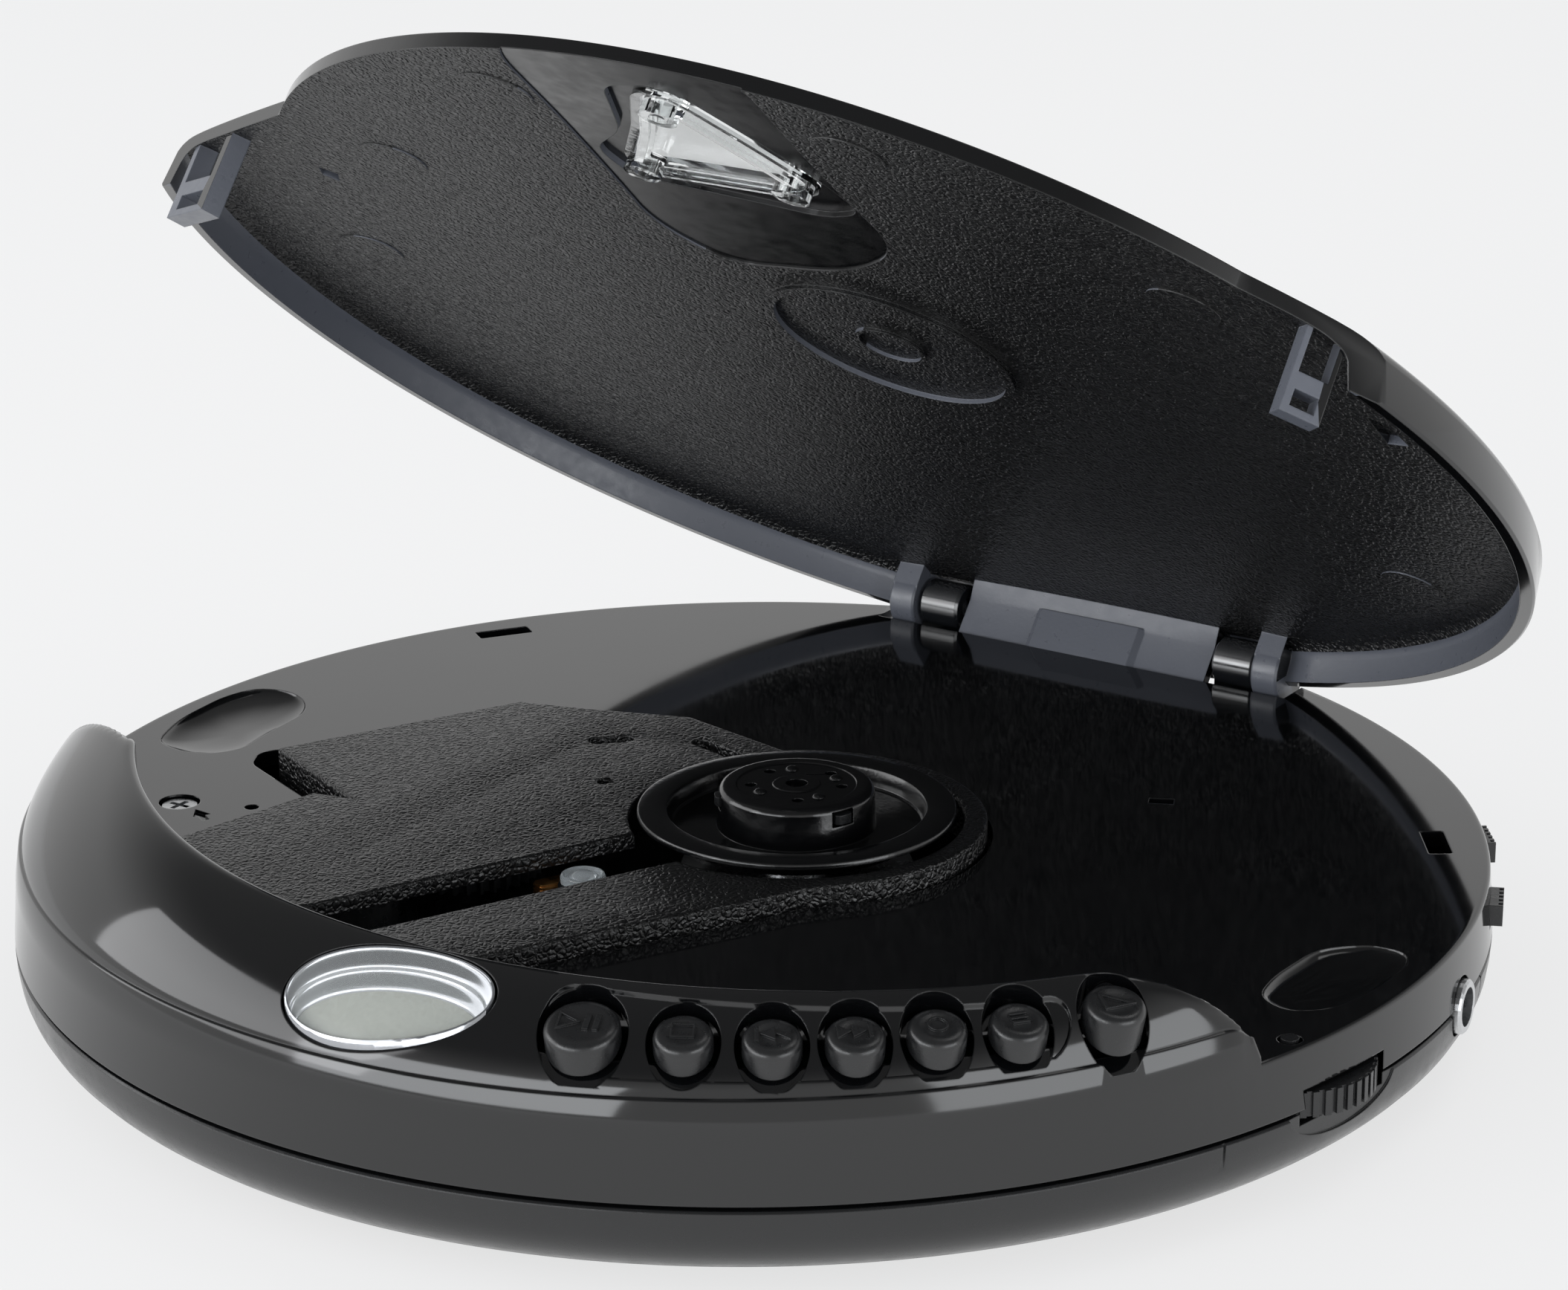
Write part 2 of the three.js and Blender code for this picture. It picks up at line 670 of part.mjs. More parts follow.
function screwSolid(headRadius, headHeight, shankRadius, length) {
  const body = turned([[0, 0], [headRadius, 0], [headRadius, headHeight], [shankRadius, headHeight],
    [shankRadius, headHeight + length], [0, headHeight + length]], 20);
  const bar = headRadius * 0.65;
  const slotHalfWidth = shankRadius / 4;
  const slotDepth = headHeight / 2;
  const cross = joined(solid(box(-bar, bar, -slotHalfWidth, slotHalfWidth, -overrun, slotDepth)),
    solid(box(-slotHalfWidth, slotHalfWidth, -bar, bar, -overrun, slotDepth)));
  return cutBy(solid(body), cross);
}
screwPlaces.forEach(([x, y], i) => {
  const head = screwHeadHeight - clearance;
  const mesh = addPiece(player, `case_screw_${i + 1}`, screwSolid(screwHeadRadius, head, screwRadius,
    screwLength), darkSteel);
  mesh.position.set(x, y, screwSink);
});

// Top shell: deck, side wall, brow, hinge barrels and all its openings
const notchHalf = barrelInnerX + barrelLength + clearance + earWidth + notchSideGap;
const notchFloorZ = deckZ - notchFloorDepth;
const deckSlotPlaces = [[55.5, 32.1, -55], [-55.3, 33.6, 55]];
const deckSlotLength = 5.8;
const deckSlotWidth = 2.2;
const deckScrewX = -50.6;
const deckScrewY = -24.1;
const deckScrewRadius = 1.7;
const deckHoleX = -43.8;
const deckHoleY = -21.4;
const deckHoleRadius = 0.7;
const nubX = 65.3;
const nubY = -15.7;
const nubRadius = 0.8;
const nubFlange = 1.1;
const dimplePlaces = [[-60.5, -3.6, 78], [61.8, -2.2, -78]];
const dimpleLong = 17;
const dimpleWide = 9.5;
const dimpleDepth = 0.9;
const hookShares = [0.42, 0.82];
const hookThickness = 2;
const hookInset = 0.2;

function alongEnd([[x0, y0], [x1, y1]], side, along, across) {
  const length = Math.hypot(x1 - x0, y1 - y0);
  const [nx, ny] = [-((y1 - y0) / length) * side, ((x1 - x0) / length) * side];
  return [x0 + (x1 - x0) * along + nx * across, y0 + (y1 - y0) * along + ny * across];
}

// Plan of a lid hook beside a slanted end of the brow, grown by a clearance
function hookPlan(end, side, grow, across = grow, shares = hookShares) {
  const length = Math.hypot(end[1][0] - end[0][0], end[1][1] - end[0][1]);
  const [from, to] = [shares[0] - grow / length, shares[1] + grow / length];
  const near = hookInset + lidEndGap - across;
  const far = hookInset + lidEndGap + hookThickness + across;
  return [alongEnd(end, side, from, near), alongEnd(end, side, to, near), alongEnd(end, side, to, far),
    alongEnd(end, side, from, far)];
}

function topShell() {
  const outerProfile = [[0, partZ + shellGap], [bodyRadius, partZ + shellGap], [rimRadius, deckZ - rimBevel],
    [rimRadius - rimBevel, deckZ], [0, deckZ]];
  const innerProfile = [[0, partZ + shellGap - overrun], [bodyRadius - wall, partZ + shellGap - overrun],
    [rimRadius - wall, deckUnderZ], [0, deckUnderZ]];
  const brow = cutBy(solid(browLoft(0, deckUnderZ + wall / 4, browStopAngle)), endCutter(0));
  const browHollow = cutBy(solid(browLoft(browWall, deckUnderZ - overrun, hollowStopAngle)), endCutter(-browWall));
  const plain = joined(solid(turned(outerProfile)), brow);
  let shell = cutBy(plain, solid(turned(innerProfile)), browHollow);
  const troughOuter = box(-notchHalf - wall, notchHalf + wall, hingeY - notchFront - wall, bodyRadius,
    notchFloorZ - wall, deckZ);
  const envelope = solid(turned([[0, partZ], [bodyRadius - wall / 2, partZ], [rimRadius - wall / 2, deckZ],
    [0, deckZ]]));
  shell = shell.add(solid(troughOuter).intersect(envelope));
  const trough = box(-notchHalf, notchHalf, hingeY - notchFront, bodyRadius + overrun, notchFloorZ, hingeZ * 2);
  shell = cutBy(shell, solid(trough));
  for (const side of [-1, 1]) {
    const centre = side * (barrelInnerX + barrelLength / 2);
    const barrel = turned([[0, -barrelLength / 2], [barrelRadius, -barrelLength / 2],
      [barrelRadius, barrelLength / 2], [0, barrelLength / 2]], 28);
    shell = shell.add(solid(barrel.rotateY(Math.PI / 2).translate(centre, hingeY, hingeZ)));
    shell = shell.add(solid(box(centre - barrelLength / 2, centre + barrelLength / 2, hingeY - barrelFootWidth / 2,
      hingeY + barrelFootWidth / 2, notchFloorZ - wall / 2, hingeZ)));
    const pinHole = turned([[0, -barrelLength], [pinRadius + clearance, -barrelLength],
      [pinRadius + clearance, barrelLength], [0, barrelLength]], 16);
    shell = cutBy(shell, solid(pinHole.rotateY(Math.PI / 2).translate(centre, hingeY, hingeZ)));
  }
  for (const [x, y] of screwPlaces) {
    shell = shell.add(solid(rod(postRadius, partZ + postGap, deckUnderZ + wall / 2, 12).translate(x, y, 0)));
    shell = cutBy(shell, solid(rod(screwRadius + clearance, partZ, deckUnderZ - clearance, 16).translate(x, y, 0)));
  }
  const well = 2 * discRadius;
  const tools = [solid(slab(coverOutline(coverGap), 0, well)), wheelRoom, jackRoom, powerRoom];
  tools.push(...switchAngles.map(switchRoom));
  for (const [x, y, turn] of deckSlotPlaces) {
    tools.push(solid(at(box(-deckSlotLength / 2, deckSlotLength / 2, -deckSlotWidth / 2, deckSlotWidth / 2,
      deckUnderZ - overrun, deckZ + overrun), aroundZ(turn, x, y))));
  }
  tools.push(solid(rod(deckScrewRadius + clearance, deckUnderZ - overrun, deckZ + overrun, 20)
    .translate(deckScrewX, deckScrewY, 0)));
  tools.push(solid(rod(deckHoleRadius, deckUnderZ - overrun, deckZ + overrun, 12).translate(deckHoleX, deckHoleY, 0)));
  tools.push(solid(rod(nubRadius + clearance, deckUnderZ - overrun, deckZ + overrun, 16).translate(nubX, nubY, 0)));
  tools.push(solid(rod(nubFlange + clearance, partZ, deckUnderZ - 2 * clearance, 16).translate(nubX, nubY, 0)));
  for (const [x, y, turn] of dimplePlaces) {
    const bowl = new THREE.SphereGeometry(1, 16, 8).scale(dimpleLong / 2, dimpleWide / 2, dimpleDepth);
    tools.push(solid(at(bowl, aroundZ(turn, x, y, deckZ))));
  }
  keyFrames.forEach((frame, i) => tools.push(keyPocket(frame, keyRadii[i], keyDepth)));
  tools.push(keyPocket(openFrame, openKeyRadius, openKeyDepth));
  tools.push(displayPrism(0, deckZ).subtract(solid(browSink(displayRebate))));
  tools.push(displayPrism(displayFlange, deckZ + browCrestRise / 2));
  tools.push(solid(slab(hookPlan(browRightEnd, 1, fitGap), deckUnderZ - overrun, hingeZ * 2)));
  tools.push(solid(slab(hookPlan(browLeftEnd, -1, fitGap), deckUnderZ - overrun, hingeZ * 2)));
  return cutBy(shell, ...tools);
}
addPiece(player, 'top_shell', topShell(), glossBlack);


// Keys and the board below them
const keyBoardRise = 4;
const keyBoardInset = 1.5;
const keyBoardOuter = 66.5;
const keyBoardSpan = [-73, -35];
keyFrames.forEach((frame, i) => {
  addPiece(player, keyNames[i], keyCap(frame, keyRadii[i], keyDepth, keyProud, keyRelief, stemReach), keyBlack);
});
addPiece(player, 'open_button', keyCap(openFrame, openKeyRadius, openKeyDepth, openKeyProud, 2 * keyRelief,
  stemReach - keyRelief), keyBlack);

function keyBoard() {
  const [from, to] = keyBoardSpan;
  const inner = [];
  const steps = 12;
  for (let i = 0; i <= steps; i += 1) {
    const angle = from + ((to - from) * i) / steps;
    inner.push(polar(wellEdge(angle) + keyBoardInset, angle));
  }
  const top = deckZ + keyBoardRise;
  const outline = [...arc(keyBoardOuter, to, from, steps), ...inner];
  return solid(slab(outline, top - boardThickness, top));
}
addPiece(player, 'key_board', keyBoard(), boardGreen);

// Display window and its panel follow the surface of the brow
addPiece(player, 'display_window', displayPrism(clearance, deckZ).intersect(browLayer(0, displayGlass)), clearPlastic);
addPiece(player, 'display_panel', displayPrism(displayFlange + clearance, deckZ)
  .intersect(browLayer(displayRebate + clearance, displayRebate + clearance + displayPanelThickness)), displayGrey);

// Cover over the mechanism, hung in the deck's opening by tabs and one screw
const tabLength = 2.2;
const tabWidth = 6;
const tabThickness = 1;
const tabPlaces = [[-46.1, -4.6, 154], [-4.0, -49.6, -27], [21.8, 2.5, 3], [-30, 15.2, 110]];
const slotEndShare = 0.995;
const coverHoles = [[-23, 8.8, 4.5, 1.8, 45], [-12.8, 12.4, 6.5, 1.8, -14]];
const earReach = 12;
const screwEarHalf = 3.2;
const screwEarThickness = 2.4;

function capsule(length, width, z0, z1) {
  const half = (length - width) / 2;
  const outline = [...arc(width / 2, -90, 90, 8, half, 0), ...arc(width / 2, 90, 270, 8, -half, 0)];
  return slab(outline, z0, z1);
}

function mechanismCover() {
  const skirtZ = coverUnderZ - coverSkirtDrop;
  const skirt = cutBy(solid(slab(coverOutline(0), skirtZ, coverUnderZ + coverThickness / 2)),
    solid(slab(coverOutline(-coverSkirt), skirtZ - overrun, coverUnderZ)));
  let cover = joined(solid(slab(coverOutline(0), coverUnderZ, coverZ)), skirt);
  const tabTop = deckUnderZ - clearance;
  for (const [x, y, turn] of tabPlaces) {
    cover = cover.add(solid(at(box(-coverSkirt / 2, tabLength, -tabWidth / 2, tabWidth / 2, tabTop - tabThickness, tabTop),
      aroundZ(turn, x, y))));
  }
  const ear = box(deckScrewX - screwEarHalf, deckScrewX + earReach, deckScrewY - screwEarHalf,
    deckScrewY + screwEarHalf, tabTop - screwEarThickness, tabTop);
  cover = cover.add(solid(ear));
  const far = coverZ + overrun;
  const slot = box(0, discRadius * slotEndShare, -slotHalf, slotHalf, coverUnderZ - overrun, far);
  const tools = [solid(rod(coverBore, 0, far, 64).translate(spindleX, spindleY, 0)), solid(at(slot, travelFrame)),
    solid(rod(screwRadius + clearance, 0, far, 16).translate(deckScrewX, deckScrewY, 0))];
  for (const [x, y, length, width, turn] of coverHoles) {
    tools.push(solid(at(capsule(length, width, coverUnderZ - overrun, far), aroundZ(turn, x, y))));
  }
  return cutBy(cover, ...tools);
}
addPiece(player, 'mechanism_cover', mechanismCover(), grainBlack);
const deckScrew = addPiece(player, 'deck_screw', screwSolid(deckScrewRadius, deckScrewRadius / 2, screwRadius,
  screwLength / 2), steel);
deckScrew.rotation.x = Math.PI;
deckScrew.position.set(deckScrewX, deckScrewY, deckZ - clearance);

// Drive chassis hung on three damper bushes
const chassisRear = -17;
const chassisFront = 62;
const chassisLow = -29;
const chassisHigh = 17.5;
const towerWidth = 4;
const towerThickness = 1.4;
const towerRise = 6;
const chassisWindow = [[16, 56, -6, 6]];
const rodStart = 13.2;
const rodEnd = chassisFront - clearance;
const axlePlace = [27, -16];
const motorPlace = [35.3, -19.9];
const smallMotorRadius = 4.5;
const smallMotorHeight = 5.9;
const motorGap = 0.3;
const motorZ = chassisTopZ + motorGap;
const axleRadius = 0.75;
const upperGearFace = 1.2;

function inTravel(geometry) {
  return solid(at(geometry, travelFrame));
}

function driveChassis() {
  let plate = inTravel(box(chassisRear, chassisFront, chassisLow, chassisHigh, chassisZ, chassisTopZ));
  for (const side of [-1, 1]) {
    for (const x of [rodStart, chassisFront - towerThickness]) {
      const y = side * rodSpread;
      plate = plate.add(inTravel(box(x, x + towerThickness, y - towerWidth / 2, y + towerWidth / 2,
        chassisTopZ - chassisThickness / 2, chassisTopZ + towerRise)));
    }
    const hole = turned([[0, rodStart - overrun], [rodRadius + clearance, rodStart - overrun],
      [rodRadius + clearance, chassisFront - towerThickness / 3], [0, chassisFront - towerThickness / 3]], 20);
    plate = plate.subtract(inTravel(hole.rotateY(Math.PI / 2).translate(0, side * rodSpread, rodZ)));
  }
  for (const [x0, x1, y0, y1] of chassisWindow) {
    plate = plate.subtract(inTravel(box(x0, x1, y0, y1, chassisZ - overrun, chassisTopZ + overrun)));
  }
  for (const [x, y] of bushPlaces) {
    plate = plate.subtract(inTravel(rod(bushWaist + clearance, chassisZ - overrun, chassisTopZ + overrun, 24)
      .translate(x, y, 0)));
  }
  return plate;
}
addPiece(player, 'drive_chassis', driveChassis(), darkSteel);

bushPlaces.forEach(([x, y], i) => {
  const low = floorZ + clearance;
  const lower = chassisZ - clearance;
  const upper = chassisTopZ + clearance;
  const bore = bushWaist / 2 + clearance;
  const bush = turned([[bore, low], [bushRadius, low], [bushRadius, lower], [bushWaist, lower], [bushWaist, upper],
    [bushRadius, upper], [bushRadius, upper + chassisThickness], [bore, upper + chassisThickness], [bore, low]], 24);
  addPiece(player, `damper_bush_${i + 1}`, inTravel(bush.translate(x, y, 0)), rubberBlack);
});

['guide_rod_front', 'guide_rod_rear'].forEach((name, i) => {
  const y = (1 - 2 * i) * rodSpread;
  const length = turned([[0, rodStart], [rodRadius, rodStart], [rodRadius, rodEnd - towerThickness / 3],
    [0, rodEnd - towerThickness / 3]], 20);
  addPiece(player, name, inTravel(length.rotateY(Math.PI / 2).translate(0, y, rodZ)), steel);
});

// Spindle motor, its shaft and the turntable
const collarRadius = 3.6;
const collarHeight = 0.4;
const bore = shaftRadius + boreGap;
const motorTopZ = motorZ + motorHeight;
const motorCan = turned([[bore, motorZ], [motorRadius, motorZ], [motorRadius, motorTopZ], [collarRadius, motorTopZ],
  [collarRadius, motorTopZ + collarHeight], [bore, motorTopZ + collarHeight], [bore, motorZ]], 48);
addPiece(player, 'spindle_motor', solid(motorCan.translate(spindleX, spindleY, 0)), steel);
const hubTopZ = discZ + hubRise;
const shaftTopZ = discZ + hubRise / 2;
addPiece(player, 'motor_shaft', solid(rod(shaftRadius, motorZ + clearance, shaftTopZ, 20)
  .translate(spindleX, spindleY, 0)), steel);

const clawAngles = [-20, 100, -140];
const clawWidth = 1.8;
const clawProud = 0.3;
const clawInner = 5;
const clawStroke = 0.7;
const clawLow = 0.5;
const clawHigh = 1.4;
const hubChamfer = 0.55;
const padStep = 0.1;

function turntable() {
  const under = discZ - platterThickness;
  const bossZ = motorTopZ + collarHeight + clearance;
  const body = turned([[bore, bossZ], [hubBossRadius, bossZ], [hubBossRadius, under - platterThickness],
    [platterRadius, under], [platterRadius, discZ - padStep], [platterRadius - padStep, discZ], [hubRadius, discZ],
    [hubRadius, hubTopZ - hubChamfer], [hubRadius - hubChamfer, hubTopZ], [0, hubTopZ], [0, shaftTopZ + clearance],
    [bore, shaftTopZ + clearance], [bore, bossZ]], 64);
  const tools = clawAngles.map((angle) => solid(at(box(clawInner - clawStroke - clearance, hubRadius + overrun,
    -clawWidth / 2 - clearance, clawWidth / 2 + clearance, discZ + clawLow - clearance,
    discZ + clawHigh + clearance), aroundZ(angle))));
  return cutBy(solid(body), ...tools).translate([spindleX, spindleY, 0]);
}
addPiece(player, 'turntable', turntable(), mattBlack);
clawAngles.forEach((angle, i) => {
  const tip = hubRadius + clawProud;
  const plan = [[clawInner, -clawWidth / 2], [tip - clawProud, -clawWidth / 2], [tip, -clawWidth / 4],
    [tip, clawWidth / 4], [tip - clawProud, clawWidth / 2], [clawInner, clawWidth / 2]];
  addPiece(player, `clamp_claw_${i + 1}`, solid(at(slab(plan, discZ + clawLow, discZ + clawHigh),
    aroundZ(angle, spindleX, spindleY))), keyBlack);
});

// Pickup sled with its lens and rack
const sledDrop = 1.6;
const sledZ = rodZ - sledDrop;
const sledTopZ = sledZ + sledHeight;
const upperGearZ = sledTopZ + clearance;
const actuatorHalf = 3.3;
const lensZ = sledTopZ + clearance + actuatorHeight + clearance;
const rackRear = -9;
const rackFront = 29;
const rackGap = 0.3;
const rackRise = 1.7;

function pickupSled() {
  const block = inTravel(box(sledStart, sledStart + sledLength, -sledHalf, sledHalf, sledZ, sledTopZ));
  const reach = [sledStart - overrun, sledStart + sledLength + overrun];
  const holes = [-1, 1].map((side) => {
    const hole = turned([[0, reach[0]], [rodRadius + clearance, reach[0]], [rodRadius + clearance, reach[1]],
      [0, reach[1]]], 20);
    return inTravel(hole.rotateY(Math.PI / 2).translate(0, side * rodSpread, rodZ));
  });
  return cutBy(block, ...holes);
}
addPiece(player, 'pickup_sled', pickupSled(), darkSteel);
const actuator = box(lensStart - actuatorHalf, lensStart + lensRadius, -actuatorHalf, actuatorHalf,
  sledTopZ + clearance, sledTopZ + clearance + actuatorHeight);
addPiece(player, 'lens_actuator', inTravel(actuator), keyBlack);
const lensShares = [[0, 0], [1, 0], [1, 0.33], [0.75, 0.7], [0.4, 0.92], [0, 1]];
const lens = turned(lensShares.map(([radius, rise]) => [radius * lensRadius, lensZ + rise * lensRise]), 28);
addPiece(player, 'objective_lens', inTravel(lens.translate(lensStart, 0, 0)), clearPlastic);

// Gear teeth: half widths of a tooth at root and tip, and its reach, in shares of pitch and module
const toothRootShare = 0.27;
const toothTipShare = 0.1;
const addendumShare = 0.75;
const dedendumShare = 1.15;

function gearOutline(teeth, module, phase) {
  const radius = (teeth * module) / 2;
  const points = [];
  const pitch = 360 / teeth;
  const tip = radius + addendumShare * module;
  const root = radius - dedendumShare * module;
  for (let i = 0; i < teeth; i += 1) {
    const angle = phase + i * pitch;
    points.push(polar(root, angle - toothRootShare * pitch), polar(tip, angle - toothTipShare * pitch),
      polar(tip, angle + toothTipShare * pitch), polar(root, angle + toothRootShare * pitch));
  }
  return points;
}

function sledRack() {
  const pitch = Math.PI * gearModule;
  const lineY = axlePlace[1] + (gearTeeth * gearModule) / 2;
  const root = lineY + dedendumShare * gearModule;
  const tip = lineY - addendumShare * gearModule;
  const back = -sledHalf - rackGap;
  const points = [[rackRear, back], [rackFront, back], [rackFront, root]];
  const count = Math.floor((rackFront - rackRear) / pitch) - 1;
  const first = axlePlace[0] + pitch / 2;
  for (let i = 0; i < count; i += 1) {
    const x = first - i * pitch;
    points.push([x + toothRootShare * pitch, root], [x + toothTipShare * pitch, tip],
      [x - toothTipShare * pitch, tip], [x - toothRootShare * pitch, root]);
  }
  points.push([rackRear, root]);
  return inTravel(slab(points, sledZ, sledZ + rackRise));
}
addPiece(player, 'sled_rack', sledRack(), whiteNylon);

const motorBearing = Math.atan2(motorPlace[1] - axlePlace[1], motorPlace[0] - axlePlace[0]) / degree;
const gearHubRadius = 2.2;

function transferGear() {
  const pinion = slab(gearOutline(gearTeeth, gearModule, 90), sledZ, sledZ + rackRise);
  const hub = rod(gearHubRadius, sledZ, upperGearZ + upperGearFace / 2, 24);
  const wheel = slab(gearOutline(wheelTeeth, wheelModule, motorBearing), upperGearZ, upperGearZ + upperGearFace);
  const hole = solid(rod(axleRadius + boreGap, 0, deckZ * 2, 16));
  return joined(solid(pinion), solid(hub), solid(wheel)).subtract(hole);
}
addPiece(player, 'transfer_gear', inPlace(transferGear(), axlePlace), whiteNylon);

function inPlace(piece, [x, y]) {
  return piece.translate([x, y, 0]).transform(travelFrame.elements);
}
const axleFlange = 2;
const axleTopZ = upperGearZ + upperGearFace + clearance;
const axle = turned([[0, motorZ], [axleFlange, motorZ], [axleFlange, sledZ - clearance],
  [axleRadius, sledZ - clearance], [axleRadius, axleTopZ], [0, axleTopZ]], 16);
addPiece(player, 'gear_axle', inPlace(solid(axle), axlePlace), steel);

const motorTop = motorZ + smallMotorHeight;
const shaftPin = 0.5;
const sledMotor = turned([[0, motorZ], [smallMotorRadius, motorZ], [smallMotorRadius, motorTop], [shaftPin, motorTop],
  [shaftPin, axleTopZ], [0, axleTopZ]], 28);
addPiece(player, 'sled_motor', inPlace(solid(sledMotor), motorPlace), steel);
const pinionPhase = motorBearing + 180 + 180 / pinionTeeth;
const motorPinion = slab(gearOutline(pinionTeeth, wheelModule, pinionPhase), upperGearZ, upperGearZ + upperGearFace);
addPiece(player, 'motor_pinion', inPlace(solid(motorPinion)
  .subtract(solid(rod(shaftPin + boreGap, 0, deckZ * 2, 12))), motorPlace), brassFoil);

// Main board and the parts on it
const boardOutline = [[29, 19], [29, 10], [12.5, -28], [16, -35], [46, -35], [57.5, -18], [60, -4], [58, 15], [50, 20]];
const boardTopZ = boardZ + boardThickness;
const chipPlaces = [[33, -8, 12, 12], [40, -25, 8, 6], [42, 8, 10, 7]];
const chipHeight = 1.4;

function mainBoard() {
  const chips = chipPlaces.map(([x, y, long, wide]) => solid(box(x - long / 2, x + long / 2, y - wide / 2,
    y + wide / 2, boardTopZ - boardThickness / 2, boardTopZ + chipHeight)));
  return joined(solid(slab([...boardOutline].reverse(), boardZ, boardTopZ)), ...chips);
}
addPiece(player, 'main_board', mainBoard(), boardGreen);

const potRadius = 4;
const potStem = 0.9;
const potTop = wheelBottomZ - clearance;
const wheelTop = wheelBottomZ + wheelThickness;
const pot = turned([[0, boardTopZ + clearance], [potRadius, boardTopZ + clearance], [potRadius, potTop],
  [potStem, potTop], [potStem, wheelTop], [0, wheelTop]], 24);
addPiece(player, 'volume_pot', solid(at(pot, wheelFrame)), darkSteel);

function volumeWheel() {
  const points = [];
  for (let i = 0; i < 2 * wheelRibs; i += 1) {
    points.push(polar(wheelRadius - (i % 2) * wheelRibDepth, (i * 180) / wheelRibs));
  }
  return solid(slab(points, wheelBottomZ, wheelTop)).subtract(solid(rod(potStem + clearance, 0, wheelTop * 2, 16)));
}
addPiece(player, 'volume_wheel', volumeWheel().transform(wheelFrame.elements), mattBlack);

// Sockets on the right side
const socketDepth = 3.7;
function socket(angle, z, ringRadius, boreRadius, width, pinSize) {
  const front = bodyRadius + (pinSize ? 0 : jackProud);
  const bodyFront = bodyRadius - socketDepth;
  const body = box(bodyRadius - jackLength, bodyFront, -width / 2, width / 2, boardTopZ + clearance,
    2 * z - boardTopZ - clearance);
  const ring = turned([[0, bodyFront - wall], [ringRadius, bodyFront - wall], [ringRadius, front - padStep * 2],
    [ringRadius - padStep * 2, front], [0, front]], 28).rotateY(Math.PI / 2).translate(0, 0, z);
  const hole = turned([[0, bodyRadius - jackLength + wall], [boreRadius, bodyRadius - jackLength + wall],
    [boreRadius, front + overrun], [0, front + overrun]], 24).rotateY(Math.PI / 2).translate(0, 0, z);
  let piece = joined(solid(body), solid(ring)).subtract(solid(hole));
  if (pinSize) {
    const pin = turned([[0, bodyRadius - jackLength + wall / 2], [pinSize, bodyRadius - jackLength + wall / 2],
      [pinSize, front - wall], [0, front - wall]], 12).rotateY(Math.PI / 2).translate(0, 0, z);
    piece = piece.add(solid(pin));
  }
  return piece.transform(aroundZ(angle).elements);
}
addPiece(player, 'headphone_jack', socket(jackAngle, jackZ, jackRadius, jackBore, jackWidth, 0), steel);
const powerRing = powerBore;
addPiece(player, 'power_jack', socket(powerAngle, powerZ, powerRing, powerBore - powerPin, jackWidth, powerPin),
  mattBlack);

// Slide switches
const switchFlange = 3.2;
const switchRibs = 3;
const switchRibDepth = 0.35;
const switchInner = 65.1;
const switchFlangeOuter = 66.7;

function switchSlider(angle) {
  const middle = -switchTravel / 2;
  const half = switchWidth / 2;
  const knob = solid(box(switchInner, bodyRadius + switchProud, middle - half, middle + half,
    switchZ - switchHeight / 2, switchZ + switchHeight / 2));
  const flange = solid(box(switchInner, switchFlangeOuter, middle - switchFlange, middle + switchFlange,
    switchZ - switchHeight / 2, switchZ + switchHeight / 2));
  let piece = joined(knob, flange);
  for (let i = 0; i < switchRibs; i += 1) {
    const y = middle + (i - 1) * (half / 2);
    piece = piece.subtract(solid(box(bodyRadius + switchProud - switchRibDepth, bodyRadius + overrun,
      y - switchRibDepth, y + switchRibDepth, 0, deckZ)));
  }
  return piece.transform(aroundZ(angle).elements);
}
switchAngles.forEach((angle, i) => addPiece(player, switchNames[i], switchSlider(angle), mattBlack));

// Ribbon from the mechanism to the board
const ribbonPath = [[8.5, -30.5], [13, -13]];
const ribbonWidth = 5;
const ribbonThickness = 0.3;
const ribbonLength = Math.hypot(ribbonPath[1][0] - ribbonPath[0][0], ribbonPath[1][1] - ribbonPath[0][1]);
const ribbonTurn = Math.atan2(ribbonPath[1][1] - ribbonPath[0][1], ribbonPath[1][0] - ribbonPath[0][0]) / degree;
const ribbon = box(0, ribbonLength, -ribbonWidth / 2, ribbonWidth / 2, boardTopZ + clearance,
  boardTopZ + clearance + ribbonThickness);
addPiece(player, 'board_ribbon', solid(at(ribbon, aroundZ(ribbonTurn, ...ribbonPath[0]))), brassFoil);

// Hinge pins
for (const side of [-1, 1]) {
  const from = barrelInnerX + pinShort;
  const to = barrelInnerX + barrelLength + clearance + earWidth - 2 * pinShort;
  const pin = turned([[0, from], [pinRadius, from], [pinRadius, to], [0, to]], 16);
  addPiece(player, side < 0 ? 'hinge_pin_left' : 'hinge_pin_right',
    solid(pin.rotateY((side * Math.PI) / 2).translate(0, hingeY, hingeZ)), steel);
}

// Latch pawl behind the right hook, and the pin that senses the lid
const pawlWidth = 4;
const pawlLength = 6;
const pawlNose = 1.5;
const pawlTopZ = deckUnderZ - clearance;
const pawlThickness = 1.5;
const noseThickness = 0.9;
const pawlAlong = (hookShares[0] + hookShares[1]) / 2;
const pawlNear = hookInset + lidEndGap + hookThickness + clearance;

